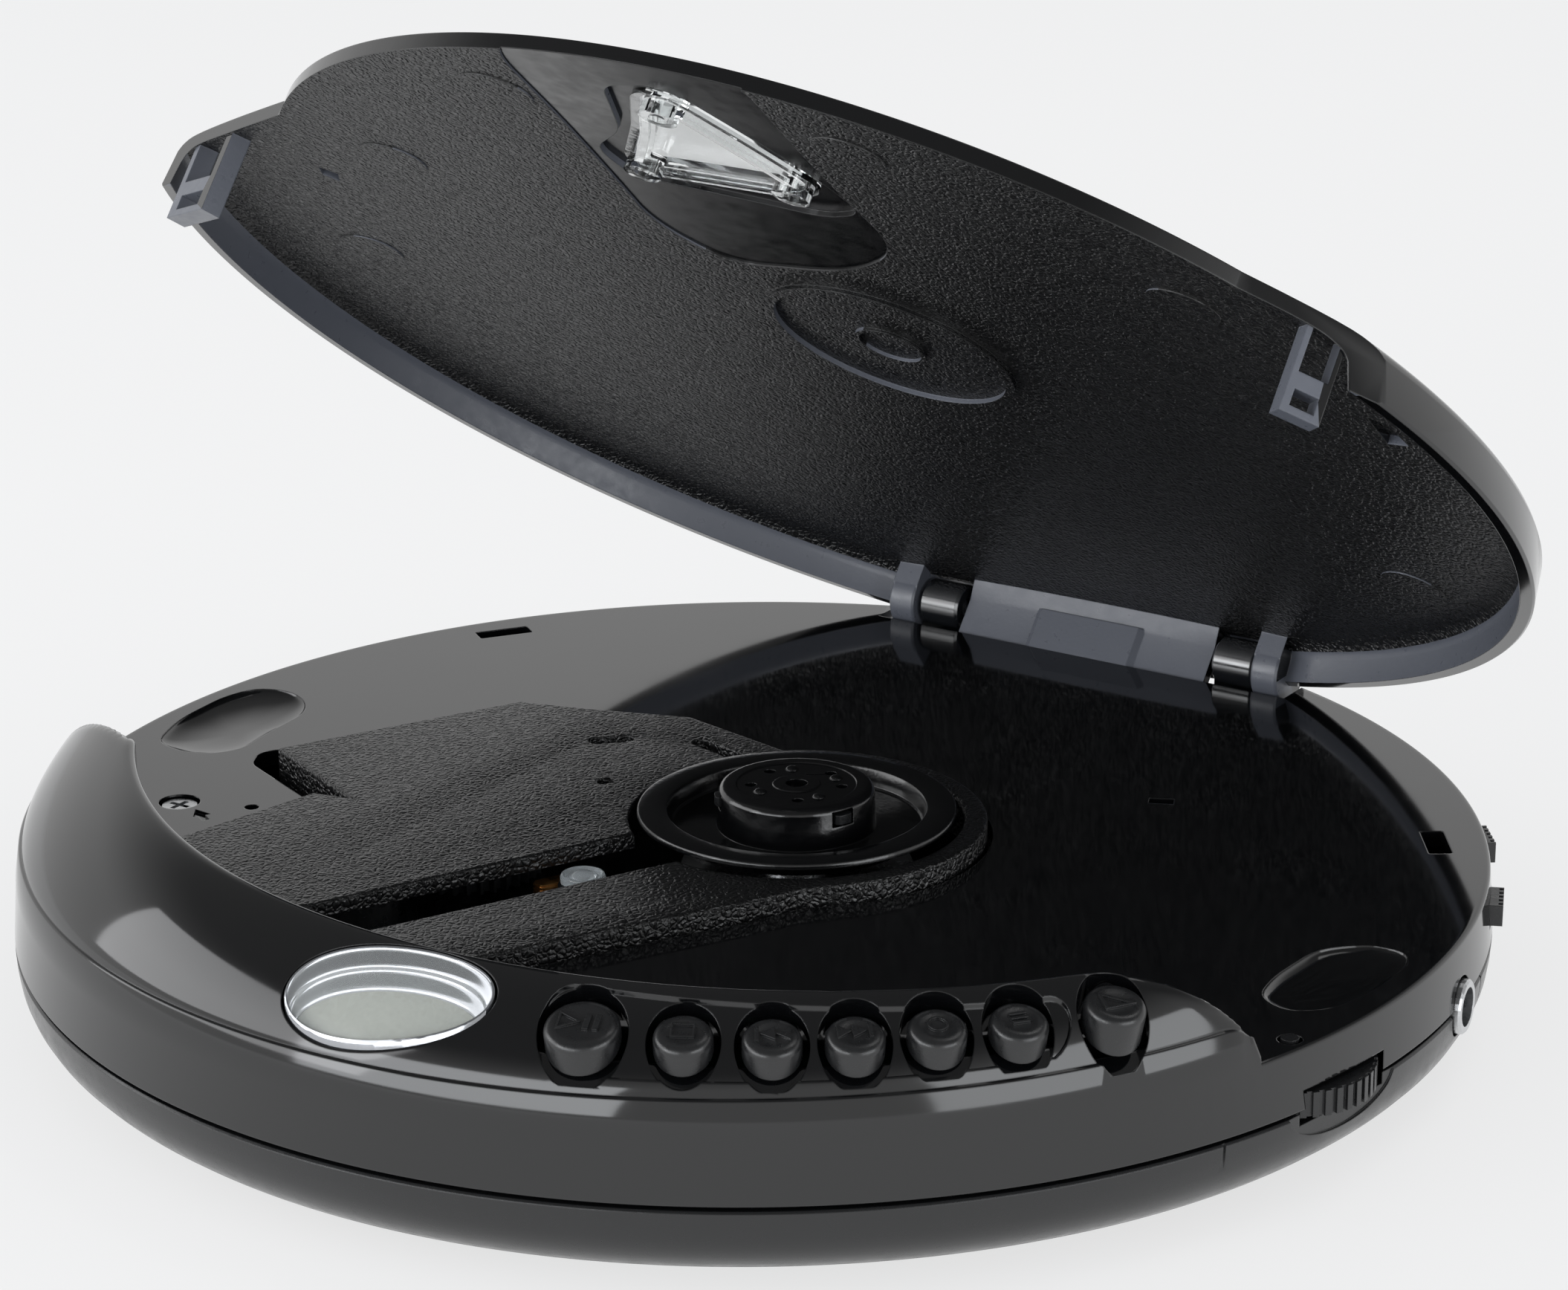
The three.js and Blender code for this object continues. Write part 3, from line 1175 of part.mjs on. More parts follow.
function latchPawl() {
  const [x, y] = alongEnd(browRightEnd, 1, pawlAlong, pawlNear);
  const [qx, qy] = alongEnd(browRightEnd, 1, pawlAlong, pawlNear + pawlLength);
  const turn = Math.atan2(qy - y, qx - x) / degree;
  const body = box(pawlNose, pawlLength, -pawlWidth / 2, pawlWidth / 2, pawlTopZ - pawlThickness, pawlTopZ);
  const nose = box(0, pawlNose + clearance, -pawlWidth / 4, pawlWidth / 4, pawlTopZ - noseThickness, pawlTopZ);
  return joined(solid(body), solid(nose)).transform(aroundZ(turn, x, y).elements);
}
addPiece(player, 'latch_pawl', latchPawl(), steel);
const nubRise = 0.2;
const nubFoot = 1.9;
const interlock = turned([[0, deckUnderZ - nubFoot], [nubFlange, deckUnderZ - nubFoot],
  [nubFlange, deckUnderZ - nubFoot / 2], [nubRadius, deckUnderZ - nubFoot / 2],
  [nubRadius, deckZ + nubRise], [0, deckZ + nubRise]], 16);
addPiece(player, 'interlock_pin', solid(interlock.translate(nubX, nubY, 0)), keyBlack);

// Lid, modelled closed inside a group that is turned open about the hinge
const lid = new THREE.Group();
const lidTopZ = lidRimZ + lidCrown;

function lidProfile(shares, crown, rimRadius, rimZ) {
  const curve = shares.map(([radius, height]) => [radius * lidRadius, lidRimZ + height * lidCrown]);
  return turned([[0, crown], ...curve, [rimRadius, rimZ], [0, rimZ]]);
}

function lidOuter(bottomZ = lidRimZ) {
  return solid(lidProfile(lidOuterShares, lidTopZ, lidRadius, bottomZ));
}

function lidInner() {
  return solid(lidProfile(lidInnerShares, lidRimZ + lidInnerCrownShare * lidCrown, lidInnerRimShare * lidRadius,
    lidRimZ - overrun));
}

function browClearance() {
  const reach = bodyRadius + overrun;
  const front = solid(box(-reach, reach, -reach, -browLeftFront, 0, lidTopZ + overrun));
  const inner = solid(rod(wellRadius - lidFrontGap, -overrun, lidTopZ * 2, bodySteps).translate(spindleX, spindleY, 0));
  return cutBy(front, inner, endCutter(lidEndGap));
}
const browLeftFront = 15;

// Window inset in the lid, a rounded wedge given in shares of the disc's radius
const windowShares = [[0.093, -0.85], [0.02, -0.727], [-0.067, -0.603], [-0.07, -0.573], [-0.043, -0.563],
  [0.21, -0.557], [0.233, -0.573], [0.237, -0.6], [0.16, -0.833], [0.143, -0.86], [0.11, -0.863]];
const windowGap = 0.3;
const windowFlange = 1;
const windowFlangeThickness = 0.6;
const windowFlangeReach = 0.9;
const bossPlaces = [[7.4, -49.9], [-2.9, -35.4], [12.6, -35.0]];
const bossRadius = 1.1;
const bossDrop = 0.5;
const padPlaces = [[-35.5, -28.9], [-53.2, -5.6], [46.5, -23.7], [45.8, 38.1], [-10.7, -49.0], [24.2, -45.9]];
const padRadius = 3.4;
const padDrop = 0.4;
const ringOuter = 12.5;
const ringWall = 1.2;
const ringDrop = 0.7;
const hookWindow = { low: 0.7, high: 2.2 };
const hookWindowShares = [0.5, 0.74];
const hookDepth = 3.6;
const hookBottomZ = deckZ - hookDepth;

function windowPrism(grow, bottomZ, topZ) {
  const outline = windowShares.map(([x, y]) => [x * discRadius, y * discRadius]);
  return solid(slab(offset(outline, grow), bottomZ, topZ));
}

function ceilingLayer(upper, lower) {
  return lidInner().translate([0, 0, -upper]).subtract(lidInner().translate([0, 0, -lower]));
}

function lidShell() {
  const high = lidTopZ + overrun;
  let shell = cutBy(lidOuter(), lidInner());
  const layer = ceilingLayer(-lidSkin / 2, padDrop);
  for (const [x, y] of padPlaces) {
    shell = shell.add(layer.intersect(solid(rod(padRadius, lidRimZ, high, 20).translate(x, y, 0))));
  }
  const ring = cutBy(solid(rod(ringOuter, lidRimZ, high, 48)), solid(rod(ringOuter - ringWall, 0, high * 2, 48)));
  shell = shell.add(ceilingLayer(-lidSkin / 2, ringDrop).intersect(ring.translate([spindleX, spindleY, 0])));
  const chordHalf = barrelInnerX - chordSideGap;
  const chordY = hingeY - chordWallInset;
  const chordZ = hingeZ - chordWallDrop;
  const walls = [[chordHalf, chordY + chordStep], [chordStepHalf, chordY]].map(([half, y]) => (
    solid(box(-half, half, y, chordY + chordStep + chordWallThickness, chordZ, lidTopZ))));
  const envelope = lidOuter(chordZ).translate([0, 0, -lidSkin / 2]).add(solid(rod(lidRadius - lidWall, chordZ,
    lidRimZ + lidCrown / 2, bodySteps)));
  shell = shell.add(joined(...walls).intersect(envelope));
  for (const side of [-1, 1]) {
    const inner = barrelInnerX + barrelLength + clearance;
    const [x0, x1] = side > 0 ? [inner, inner + earWidth] : [-inner - earWidth, -inner];
    const disc = turned([[0, x0], [earRadius, x0], [earRadius, x1], [0, x1]], 28);
    const neck = box(x0, x1, hingeY - earRadius, hingeY + earNeck / 2, hingeZ, lidTopZ);
    const ear = joined(solid(disc.rotateY(Math.PI / 2).translate(0, hingeY, hingeZ)),
      solid(neck).intersect(lidOuter(0).translate([0, 0, -lidSkin / 2])));
    shell = shell.add(ear);
  }
  shell = shell.subtract(browClearance());
  for (const [end, side] of [[browRightEnd, 1], [browLeftEnd, -1]]) {
    const block = solid(slab(hookPlan(end, side, 0), hookBottomZ, high)).intersect(lidOuter(0)
      .translate([0, 0, -lidSkin / 2]));
    const window = solid(slab(hookPlan(end, side, 0, overrun, hookWindowShares), hookBottomZ + hookWindow.low,
      hookBottomZ + hookWindow.high));
    shell = shell.add(block.subtract(window));
  }
  const tools = [windowPrism(0, lidRimZ, high)];
  for (const side of [-1, 1]) {
    const inner = barrelInnerX - clearance;
    const outer = barrelInnerX + barrelLength + clearance;
    const [x0, x1] = side > 0 ? [inner, outer] : [-outer, -inner];
    const room = barrelRadius + windowGap + padStep;
    const round = turned([[0, x0], [room, x0], [room, x1], [0, x1]], 28);
    tools.push(solid(round.rotateY(Math.PI / 2).translate(0, hingeY, hingeZ)));
    tools.push(solid(box(x0, x1, hingeY - room, bodyRadius, 0, hingeZ)));
    const [p0, p1] = side > 0 ? [inner, outer + earWidth - pinShort] : [-outer - earWidth + pinShort, -inner];
    const pinHole = turned([[0, p0], [pinRadius + clearance, p0], [pinRadius + clearance, p1], [0, p1]], 16);
    tools.push(solid(pinHole.rotateY(Math.PI / 2).translate(0, hingeY, hingeZ)));
  }
  return cutBy(shell, ...tools);
}

function lidWindow() {
  const skin = cutBy(lidOuter(), lidInner()).intersect(windowPrism(-windowGap, lidRimZ, lidTopZ + overrun));
  const flange = ceilingLayer(windowGap, windowGap + windowFlangeThickness)
    .intersect(windowPrism(windowFlange, lidRimZ, lidTopZ))
    .intersect(solid(rod(discRadius * windowFlangeReach, 0, lidTopZ, bodySteps)));
  const bridge = ceilingLayer(-lidSkin / 2, windowGap + windowFlangeThickness / 2)
    .intersect(windowPrism(-windowGap, lidRimZ, lidTopZ));
  const bosses = bossPlaces.map(([x, y]) => ceilingLayer(0, windowFlangeThickness + windowGap + bossDrop)
    .intersect(solid(rod(bossRadius, lidRimZ, lidTopZ, 12).translate(x, y, 0))));
  return joined(skin, flange, bridge, ...bosses);
}
addPiece(lid, 'lid_shell', lidShell(), glossBlack);
addPiece(lid, 'lid_window', lidWindow(), clearPlastic);
const raised = new THREE.Group();
raised.position.set(0, hingeY, hingeZ);
raised.rotation.x = -openAngle * degree;
lid.position.set(0, -hingeY, -hingeZ);
raised.add(lid);
player.add(raised);

export default player;
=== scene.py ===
"""Round portable disc player with its lid raised: the looks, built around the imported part."""
import math

import bmesh
import bpy
from mathutils import Matrix, Vector


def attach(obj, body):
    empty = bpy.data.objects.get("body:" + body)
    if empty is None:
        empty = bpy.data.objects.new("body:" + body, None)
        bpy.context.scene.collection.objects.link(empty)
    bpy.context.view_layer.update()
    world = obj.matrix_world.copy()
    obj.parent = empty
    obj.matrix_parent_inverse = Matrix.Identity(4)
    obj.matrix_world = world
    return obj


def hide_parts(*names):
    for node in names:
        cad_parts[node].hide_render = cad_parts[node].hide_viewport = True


bl_info = {
    "name": "Disc player with hinged lid",
    "version": (1, 0, 0),
    "blender": (4, 5, 0),
    "location": "View3D > Sidebar > Player",
    "description": "Builds the finished looks of a round portable disc player",
    "category": "Object",
}

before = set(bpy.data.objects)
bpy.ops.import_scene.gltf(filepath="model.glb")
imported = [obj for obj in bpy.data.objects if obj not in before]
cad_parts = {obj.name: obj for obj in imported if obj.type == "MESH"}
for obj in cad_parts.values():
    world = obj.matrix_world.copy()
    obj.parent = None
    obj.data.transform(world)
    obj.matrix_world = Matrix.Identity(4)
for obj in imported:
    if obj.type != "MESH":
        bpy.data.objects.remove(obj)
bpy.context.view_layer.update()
MM = 0.001

# Sizes shared with the part's solids, in millimetres
DISC_RADIUS = 60.0
SPINDLE = (3.9, 1.5)
BODY_RADIUS = 69.4
RIM_RADIUS = 69.0
WALL = 1.6
GAP = 0.3
FOOT = 0.6
PART_Z = 8.7
DECK_Z = 14.8
DECK_UNDER_Z = 13.2
DISC_Z = 17.6
WELL_RADIUS = 61.3
CREST_RADIUS = 68.3
HINGE_Y = 63.7
HINGE_Z = 16.3
OPEN_ANGLE = 38
LID_RIM_Z = 15.1
LID_RADIUS = 68.7
LID_CROWN = 8.0
SPOON_DEPTH = 0.75
LEFT_END = ((-44.9, -36.9), (-63.0, -27.0))
RIGHT_END = ((57.4, -29.8), (64.0, -22.9))
END_ROUND = 1.1
END_REACH = 40.0
BARREL_X = 15.5
BARREL_LENGTH = 4.7
BARREL_RADIUS = 2.5
EAR_WIDTH = 3.0
EAR_RADIUS = 3.3
PIN_RADIUS = 0.8
NOTCH_HALF = 24.6
NOTCH_FRONT = 60.2
NOTCH_FLOOR = 11.4
COVER_Z = 16.6
CHORD_Z = 12.9
COVER_UNDER_Z = 15.1
SLOT_END = 59.7
TRAVEL_ANGLE = -115
HIGH = 60.0
ABOVE_LID = 24
FLOOR_SLANT = 20
POCKET_ROOM = 0.6
SINK_STEP = 0.5
PILL_SPAN = (-78, -28)
DISPLAY_SPAN = (-99, -67)
DECK_SCREW = (-50.6, -24.1)
INTERLOCK = (65.3, -15.7)
SWITCH_ANGLES = (24, 37)
DECK_WINDOWS = ((55.5, 32.1, -55), (-55.3, 33.6, 55))
CHASSIS_POSTS = ((-13, -16), (46, -22), (40, 13))
BOARD_POSTS = ((18, -30), (44, -30), (54, 12), (33, 16))
FOOT_PLACE, FOOT_ANGLES = 51.356, (35, -35, 145, -145)
CASE_MARK_ANGLES = (15.6, -21.5)
COVER_CLIPS = ((-46.1, -4.6, 154), (-4.0, -49.6, -27), (21.8, 2.5, 3), (-30, 15.2, 110))
COVER_SLOTS = ((-23, 8.8, 4.5, 1.8, 45), (-12.8, 12.4, 6.5, 1.8, -14))
HUB_HOLE_ANGLES, HUB_BUMP_ANGLES = (25, 75, 160, 215, 305), (55, 130, 245, 335)
CLAW_ANGLES = (-20, 100, -140)
HUB_RADIUS = 7.45
LENS_START = 23
STAGE_HALF = 3000
CAMERA_ANGLES = (34.029, 18.847, -0.366)
CAMERA_TARGET = (3.93, 1.52)
CAMERA_DISTANCE = 420.32
CAMERA_SHIFT = (-1.229, 15.093)
FOCAL_PIXELS, PICTURE_WIDTH, SENSOR = 6000, 2110, 36

KEYS = (
    ("play_button", "play_key", -67.8, 0.63, 3.15, "play_pause"),
    ("stop_button", "stop_key", -60.6, 0.64, 2.45, "stop"),
    ("back_button", "back_key", -54.4, 0.65, 2.45, "back"),
    ("next_button", "next_key", -48.6, 0.64, 2.45, "next"),
    ("program_button", "program_key", -42.8, 0.62, 2.45, "ring"),
    ("mode_button", "mode_key", -36.9, 0.64, 2.45, "dashes"),
    ("open_button", "open_key", -29.7, 0.68, 2.6, "wedge"),
)
KEY_TILT = 17
COVER_LEFT = ((-0.7, -0.617), (-0.64, -0.31), (-0.573, -0.297), (-0.82, -0.182), (-0.687, 0.093),
              (-0.625, 0.217), (-0.5, 0.253), (-0.338, 0.31))
COVER_BAR = ((0.263, -0.205), (0.24, -0.232), (0.198, -0.322), (0.1, -0.505), (-0.12, -0.93))
WINDOW = ((0.093, -0.85), (0.02, -0.727), (-0.067, -0.603), (-0.07, -0.573), (-0.043, -0.563), (0.21, -0.557),
          (0.233, -0.573), (0.237, -0.6), (0.16, -0.833), (0.143, -0.86), (0.11, -0.863))
WINDOW_BOSSES = ((7.4, -49.9), (-2.9, -35.4), (12.6, -35.0))
SPOON = ((0.05, -0.885), (-0.03, -0.7), (-0.125, -0.62), (-0.115, -0.52), (0.2, -0.465), (0.285, -0.505),
         (0.275, -0.6), (0.2, -0.86), (0.155, -0.91))
WEDGE = ((-0.07, -1.05), (-0.18, -0.345), (-0.11, -0.215), (0.13, -0.25), (0.285, -0.38), (0.29, -0.65), (0.35, -1.05))
PADS = ((-35.5, -28.9), (-53.2, -5.6), (46.5, -23.7), (45.8, 38.1), (-10.7, -49.0), (24.2, -45.9))
CEILING_MARKS = (((56.9, -5.4), (56.8, 0.4), (59.2, -0.3), (58.7, -4.8)),
                 ((-46.6, -25.4), (-47.3, -23.6), (-46.2, -22.2), (-45.2, -24.0)))
LID_OUTER = ((0.291, 0.975), (0.582, 0.888), (0.8, 0.763), (0.903, 0.7), (0.964, 0.637), (0.985, 0.563),
             (0.994, 0.463))
LID_INNER = ((0.291, 0.788), (0.582, 0.7), (0.8, 0.575), (0.903, 0.513), (0.951, 0.475), (0.969, 0.388),
             (0.975, 0.288))


# Mesh tools
def made(name, verts, faces, place=None):
    """A closed mesh in millimetres as a linked object whose place is in its mesh."""
    mesh = bpy.data.meshes.new(name)
    mesh.from_pydata([Vector(v) for v in verts], [], faces)
    work = bmesh.new()
    work.from_mesh(mesh)
    bmesh.ops.remove_doubles(work, verts=work.verts, dist=0.0002)
    bmesh.ops.recalc_face_normals(work, faces=work.faces)
    work.to_mesh(mesh)
    work.free()
    if place is not None:
        mesh.transform(place)
    mesh.transform(Matrix.Scale(MM, 4))
    obj = bpy.data.objects.new(name, mesh)
    bpy.context.scene.collection.objects.link(obj)
    return obj


def turned(profile, steps=96, place=None):
    """A profile of (radius, height) turned about the Z axis."""
    count = len(profile)
    verts, faces = [], []
    for step in range(steps):
        angle = 2 * math.pi * step / steps
        verts += [(r * math.cos(angle), r * math.sin(angle), z) for r, z in profile]
    for step in range(steps):
        after = (step + 1) % steps
        for k in range(count - 1):
            faces.append((step * count + k, after * count + k, after * count + k + 1, step * count + k + 1))
    return made("turned", verts, faces, place)


def rod(radius, low, high, steps=48, place=None):
    return turned([(0, low), (radius, low), (radius, high), (0, high)], steps, place)


def bevelled_rod(radius, low, high, edge, place):
    return turned([(0, low), (radius - edge, low), (radius, low + edge), (radius, high - edge),
                   (radius - edge, high), (0, high)], 64, place)


def slab(outline, low, high, place=None):
    """A plan outline raised between two heights."""
    count = len(outline)
    verts = [(x, y, low) for x, y in outline] + [(x, y, high) for x, y in outline]
    faces = [tuple(reversed(range(count))), tuple(range(count, 2 * count))]
    faces += [(k, (k + 1) % count, count + (k + 1) % count, count + k) for k in range(count)]
    return made("slab", verts, faces, place)


def block(x0, x1, y0, y1, z0, z1, place=None):
    return slab([(x0, y0), (x1, y0), (x1, y1), (x0, y1)], z0, z1, place)


def lofted(loops, name="loft"):
    """A closed skin through equal loops of points, capped at both ends."""
    count = len(loops[0])
    verts = [point for loop in loops for point in loop]
    faces = []
    for s in range(len(loops) - 1):
        for k in range(count):
            a, b = s * count + k, s * count + (k + 1) % count
            faces.append((a, b, b + count, a + count))
    last = (len(loops) - 1) * count
    faces.append(tuple(reversed(range(count))))
    faces.append(tuple(range(last, last + count)))
    return made(name, verts, faces)


def oblong(x0, x1, half):
    """Outline of a rectangle that lies evenly about the X axis."""
    return [(x0, -half), (x1, -half), (x1, half), (x0, half)]


def moved(obj, place):
    """Moves a mesh in metres by a place in millimetres."""
    obj.data.transform(Matrix.Scale(MM, 4) @ place @ Matrix.Scale(1 / MM, 4))
    return obj


def discard(obj):
    mesh = obj.data
    bpy.data.objects.remove(obj)
    bpy.data.meshes.remove(mesh)


def worked(body, operation, tools):
    """The body after the same boolean step with each tool, as a plain mesh."""
    for tool in tools:
        step = body.modifiers.new("shape", "BOOLEAN")
        step.operation, step.solver, step.object = operation, "MANIFOLD", tool
    graph = bpy.context.evaluated_depsgraph_get()
    mesh = bpy.data.meshes.new_from_object(body.evaluated_get(graph), depsgraph=graph)
    body.modifiers.clear()
    if not mesh.polygons:
        raise RuntimeError(f"{body.name}: {operation} left nothing")
    old = body.data
    body.data = mesh
    bpy.data.meshes.remove(old)
    for tool in tools:
        discard(tool)
    return body


def cut(body, *tools):
    return worked(body, "DIFFERENCE", tools)


def add(body, *tools):
    return worked(body, "UNION", tools)


def common(body, *tools):
    return worked(body, "INTERSECT", tools)


def finished(obj, name, body, material, replaced, angle=32):
    """Names a piece, smooths it up to an angle and ties it to the frame."""
    obj.name = name
    obj.data.name = name
    obj.data.materials.clear()
    for one in material if isinstance(material, (list, tuple)) else [material]:
        obj.data.materials.append(one)
    obj.data.polygons.foreach_set("use_smooth", [True] * len(obj.data.polygons))
    obj.data.set_sharp_from_angle(angle=math.radians(angle))
    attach(obj, body)
    if replaced:
        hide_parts(*replaced)
    return obj


def polar(radius, angle, centre=(0, 0)):
    return (centre[0] + radius * math.cos(math.radians(angle)), centre[1] + radius * math.sin(math.radians(angle)))


def arc(radius, start, stop, steps, centre=(0, 0)):
    return [polar(radius, start + (stop - start) * k / steps, centre) for k in range(steps + 1)]


def spot(angle=0, x=0, y=0, z=0):
    """Place in the plan, turned about Z, in millimetres."""
    return Matrix.Translation((x, y, z)) @ Matrix.Rotation(math.radians(angle), 4, "Z")


ALONG_X = Matrix.Rotation(math.radians(90), 4, "Y")
TRAVEL = spot(TRAVEL_ANGLE, *SPINDLE)
HINGE = Matrix.Translation((0, HINGE_Y, HINGE_Z)) @ ALONG_X


def on_side(side, inner, outer):
    """Two distances from the middle as a rising pair, on the right for 1 and on the left for -1."""
    return (inner, outer) if side > 0 else (-outer, -inner)


def offset(outline, distance):
    """Moves every side of a clockwise outline outwards by a distance."""
    moved = []
    for k, (x, y) in enumerate(outline):
        px, py = outline[k - 1]
        qx, qy = outline[(k + 1) % len(outline)]
        before, after = math.hypot(x - px, y - py), math.hypot(qx - x, qy - y)
        ax, ay = -(y - py) / before, (x - px) / before
        bx, by = -(qy - y) / after, (qx - x) / after
        scale = distance / (1 + ax * bx + ay * by)
        moved.append((x + (ax + bx) * scale, y + (ay + by) * scale))
    return moved


def rounded(outline, radius, steps=5):
    """The outline with each corner replaced by an arc."""
    result = []
    for k, corner in enumerate(outline):
        here = Vector(corner)
        before, after = Vector(outline[k - 1]) - here, Vector(outline[(k + 1) % len(outline)]) - here
        reach = min(radius, 0.45 * before.length, 0.45 * after.length)
        start, stop = here + before.normalized() * reach, here + after.normalized() * reach
        for s in range(steps + 1):
            t = s / steps
            point = start * (1 - t) ** 2 + here * 2 * t * (1 - t) + stop * t ** 2
            result.append((point.x, point.y))
    return result


# Brow surface
def lean(angle):
    return (angle + 90) / 60


def well_edge(angle):
    along = SPINDLE[0] * math.cos(math.radians(angle)) + SPINDLE[1] * math.sin(math.radians(angle))
    return along + math.sqrt(along ** 2 - SPINDLE[0] ** 2 - SPINDLE[1] ** 2 + WELL_RADIUS ** 2)


def end_distance(x, y):
    """How far a point is inside the brow's slanted end, on its own side of the player."""
    if abs(x) < END_REACH:
        return HIGH
    side, ((x0, y0), (x1, y1)) = (1, LEFT_END) if x < 0 else (-1, RIGHT_END)
    return side * ((x - x0) * (y0 - y1) + (y - y0) * (x1 - x0)) / math.hypot(x1 - x0, y1 - y0)


def brow_height(angle, radius):
    inner = well_edge(angle)
    share = max(0.0, min(1.0, (radius - inner) / (CREST_RADIUS - inner)))
    crest = DECK_Z + 3.2 + 0.4 * lean(angle)
    ridge = DECK_Z + 11.4 - 1.1 * lean(angle)
    fall = (1 - share ** (1.55 - 0.2 * lean(angle))) ** (1 / (1.28 - 0.06 * lean(angle)))
    height = crest + (ridge - crest) * fall
    inside = end_distance(*polar(radius, angle))
    if inside < END_ROUND:
        reach = END_ROUND - max(0.0, inside)
        height -= END_ROUND - math.sqrt(END_ROUND ** 2 - reach ** 2)
    return height


def brow_point(angle, share):
    radius = well_edge(angle) + (CREST_RADIUS - well_edge(angle)) * share
    return radius, brow_height(angle, radius)


def angle_steps(start, stop, step):
    count = max(2, round((stop - start) / step))
    return [start + (stop - start) * k / count for k in range(count + 1)]


def brow_solid():
    """The raised brow with a rounded ridge and its slope down to the side wall."""
    angles = angle_steps(-162, -138, 0.4) + angle_steps(-138, -36, 1.0)[1:] + angle_steps(-36, -18, 0.4)[1:]
    loops = []
    for angle in angles:
        inner = well_edge(angle)
        ridge = 0.7
        loop = [(inner, DECK_UNDER_Z + 0.4), (inner, brow_height(angle, inner + ridge) - ridge)]
        for k in range(1, 6):
            turn = math.radians(90 * k / 6)
            radius = inner + ridge * (1 - math.cos(turn))
            loop.append((radius, brow_height(angle, inner + ridge) - ridge * (1 - math.sin(turn))))
        span = CREST_RADIUS - inner - ridge
        for k in range(27):
            share = 1 - (1 - k / 26) ** 1.5
            radius = inner + ridge + span * share
            loop.append((radius, brow_height(angle, radius)))
        top = loop[-1][1]
        loop += [(CREST_RADIUS + out, top - down) for out, down in ((0.12, 0.03), (0.23, 0.1), (0.31, 0.21))]
        loop += [(RIM_RADIUS, DECK_Z), (RIM_RADIUS, DECK_UNDER_Z + 0.4)]
        loops.append([(*polar(radius, angle), height) for radius, height in loop])
    return lofted(loops, "brow")


def brow_hollow():
    loops = []
    for angle in angle_steps(-162, -24, 3):
        inner = well_edge(angle) + 1.2
        outer = CREST_RADIUS - 1.2
        loop = [(inner, DECK_UNDER_Z - 1)]
        for k in range(9):
            radius = inner + 0.5 + (outer - inner - 0.5) * k / 8
            loop.append((radius, min(brow_height(angle, radius) - 1.8, DECK_Z + 10)))
        loop += [(RIM_RADIUS - 1.2, DECK_Z), (RIM_RADIUS - 1.2, DECK_UNDER_Z - 1)]
        loops.append([(*polar(radius, angle), height) for radius, height in loop])
    return lofted(loops, "hollow")


def brow_sink(depth, start, stop):
    """Everything under the brow's surface by a depth, between two angles."""
    loops = []
    for angle in angle_steps(start, stop, SINK_STEP):
        loop = [(well_edge(angle) - 4, 0), (well_edge(angle) - 4, brow_height(angle, well_edge(angle)) - depth)]
        for k in range(25):
            radius, height = brow_point(angle, k / 24)
            loop.append((radius, height - depth))
        loop += [(BODY_RADIUS + 2, loop[-1][1] - 4), (BODY_RADIUS + 2, 0)]
        loops.append([(*polar(radius, angle), height) for radius, height in loop])
    return lofted(loops, "sink")


def beyond_end(end, side, shift):
    """The plan region past a slanted end of the brow."""
    (x0, y0), (x1, y1) = end
    length = math.hypot(x1 - x0, y1 - y0)
    ux, uy = (x1 - x0) / length, (y1 - y0) / length
    nx, ny = -uy * side, ux * side
    start = (x0 - ux * 5 + nx * shift, y0 - uy * 5 + ny * shift)
    stop = (x1 + ux * BODY_RADIUS + nx * shift, y1 + uy * BODY_RADIUS + ny * shift)
    return [start, stop, (stop[0] + nx * BODY_RADIUS, stop[1] + ny * BODY_RADIUS),
            (start[0] + nx * BODY_RADIUS, start[1] + ny * BODY_RADIUS)]


def end_cutters(shift):
    return slab(beyond_end(LEFT_END, -1, shift), -1, 2 * HIGH), slab(beyond_end(RIGHT_END, 1, shift), -1, 2 * HIGH)


def key_place(angle, share):
    """A key's place on the slope, its Z tilted outwards."""
    radius, height = brow_point(angle, share)
    x, y = polar(radius, angle)
    return spot(angle, x, y, height) @ Matrix.Rotation(math.radians(KEY_TILT), 4, "Y")


def above_floor(depth):
    """Place of a key pocket's sloping floor."""
    return Matrix.Translation((0, 0, -depth)) @ Matrix.Rotation(math.radians(FLOOR_SLANT), 4, "Y")


def key_pocket(place, radius, depth):
    bore = rod(radius + POCKET_ROOM, -6, 6, 96)
    bore = common(bore, block(-12, 12, -12, 12, 0, 20, above_floor(depth)))
    bore = add(bore, rod(1.1, -3.1, 0.2, 24))
    return moved(bore, place)


def round_end(first, last):
    """Points of a bulging end from one plan point to another."""
    first, last = Vector(first), Vector(last)
    middle, half = (first + last) / 2, (first - last) / 2
    out = Vector((-half.y, half.x)).normalized() * 2.2
    turns = [math.radians(180 * k / 12) for k in range(1, 12)]
    return [tuple(middle + half * math.cos(turn) + out * math.sin(turn)) for turn in turns]


def pill_outline():
    """Outline of the long recess around the six keys, round at both ends."""
    lower = [polar(well_edge(a) + 0.92 * (CREST_RADIUS - well_edge(a)), a) for a in angle_steps(-69.3, -34.6, 0.9)]
    upper = []
    for a in angle_steps(-68.6, -35.0, 0.9):
        share = 0.2 + (a + 70.4) / 37.3 * 0.2
        upper.append(polar(well_edge(a) + share * (CREST_RADIUS - well_edge(a)), a))
    return lower + round_end(lower[-1], upper[-1]) + upper[::-1] + round_end(upper[0], lower[0])


DISPLAY = spot(-83.3 + 5.5, *polar(64.5, -83.3))
DISPLAY_DEPTH = 2.0


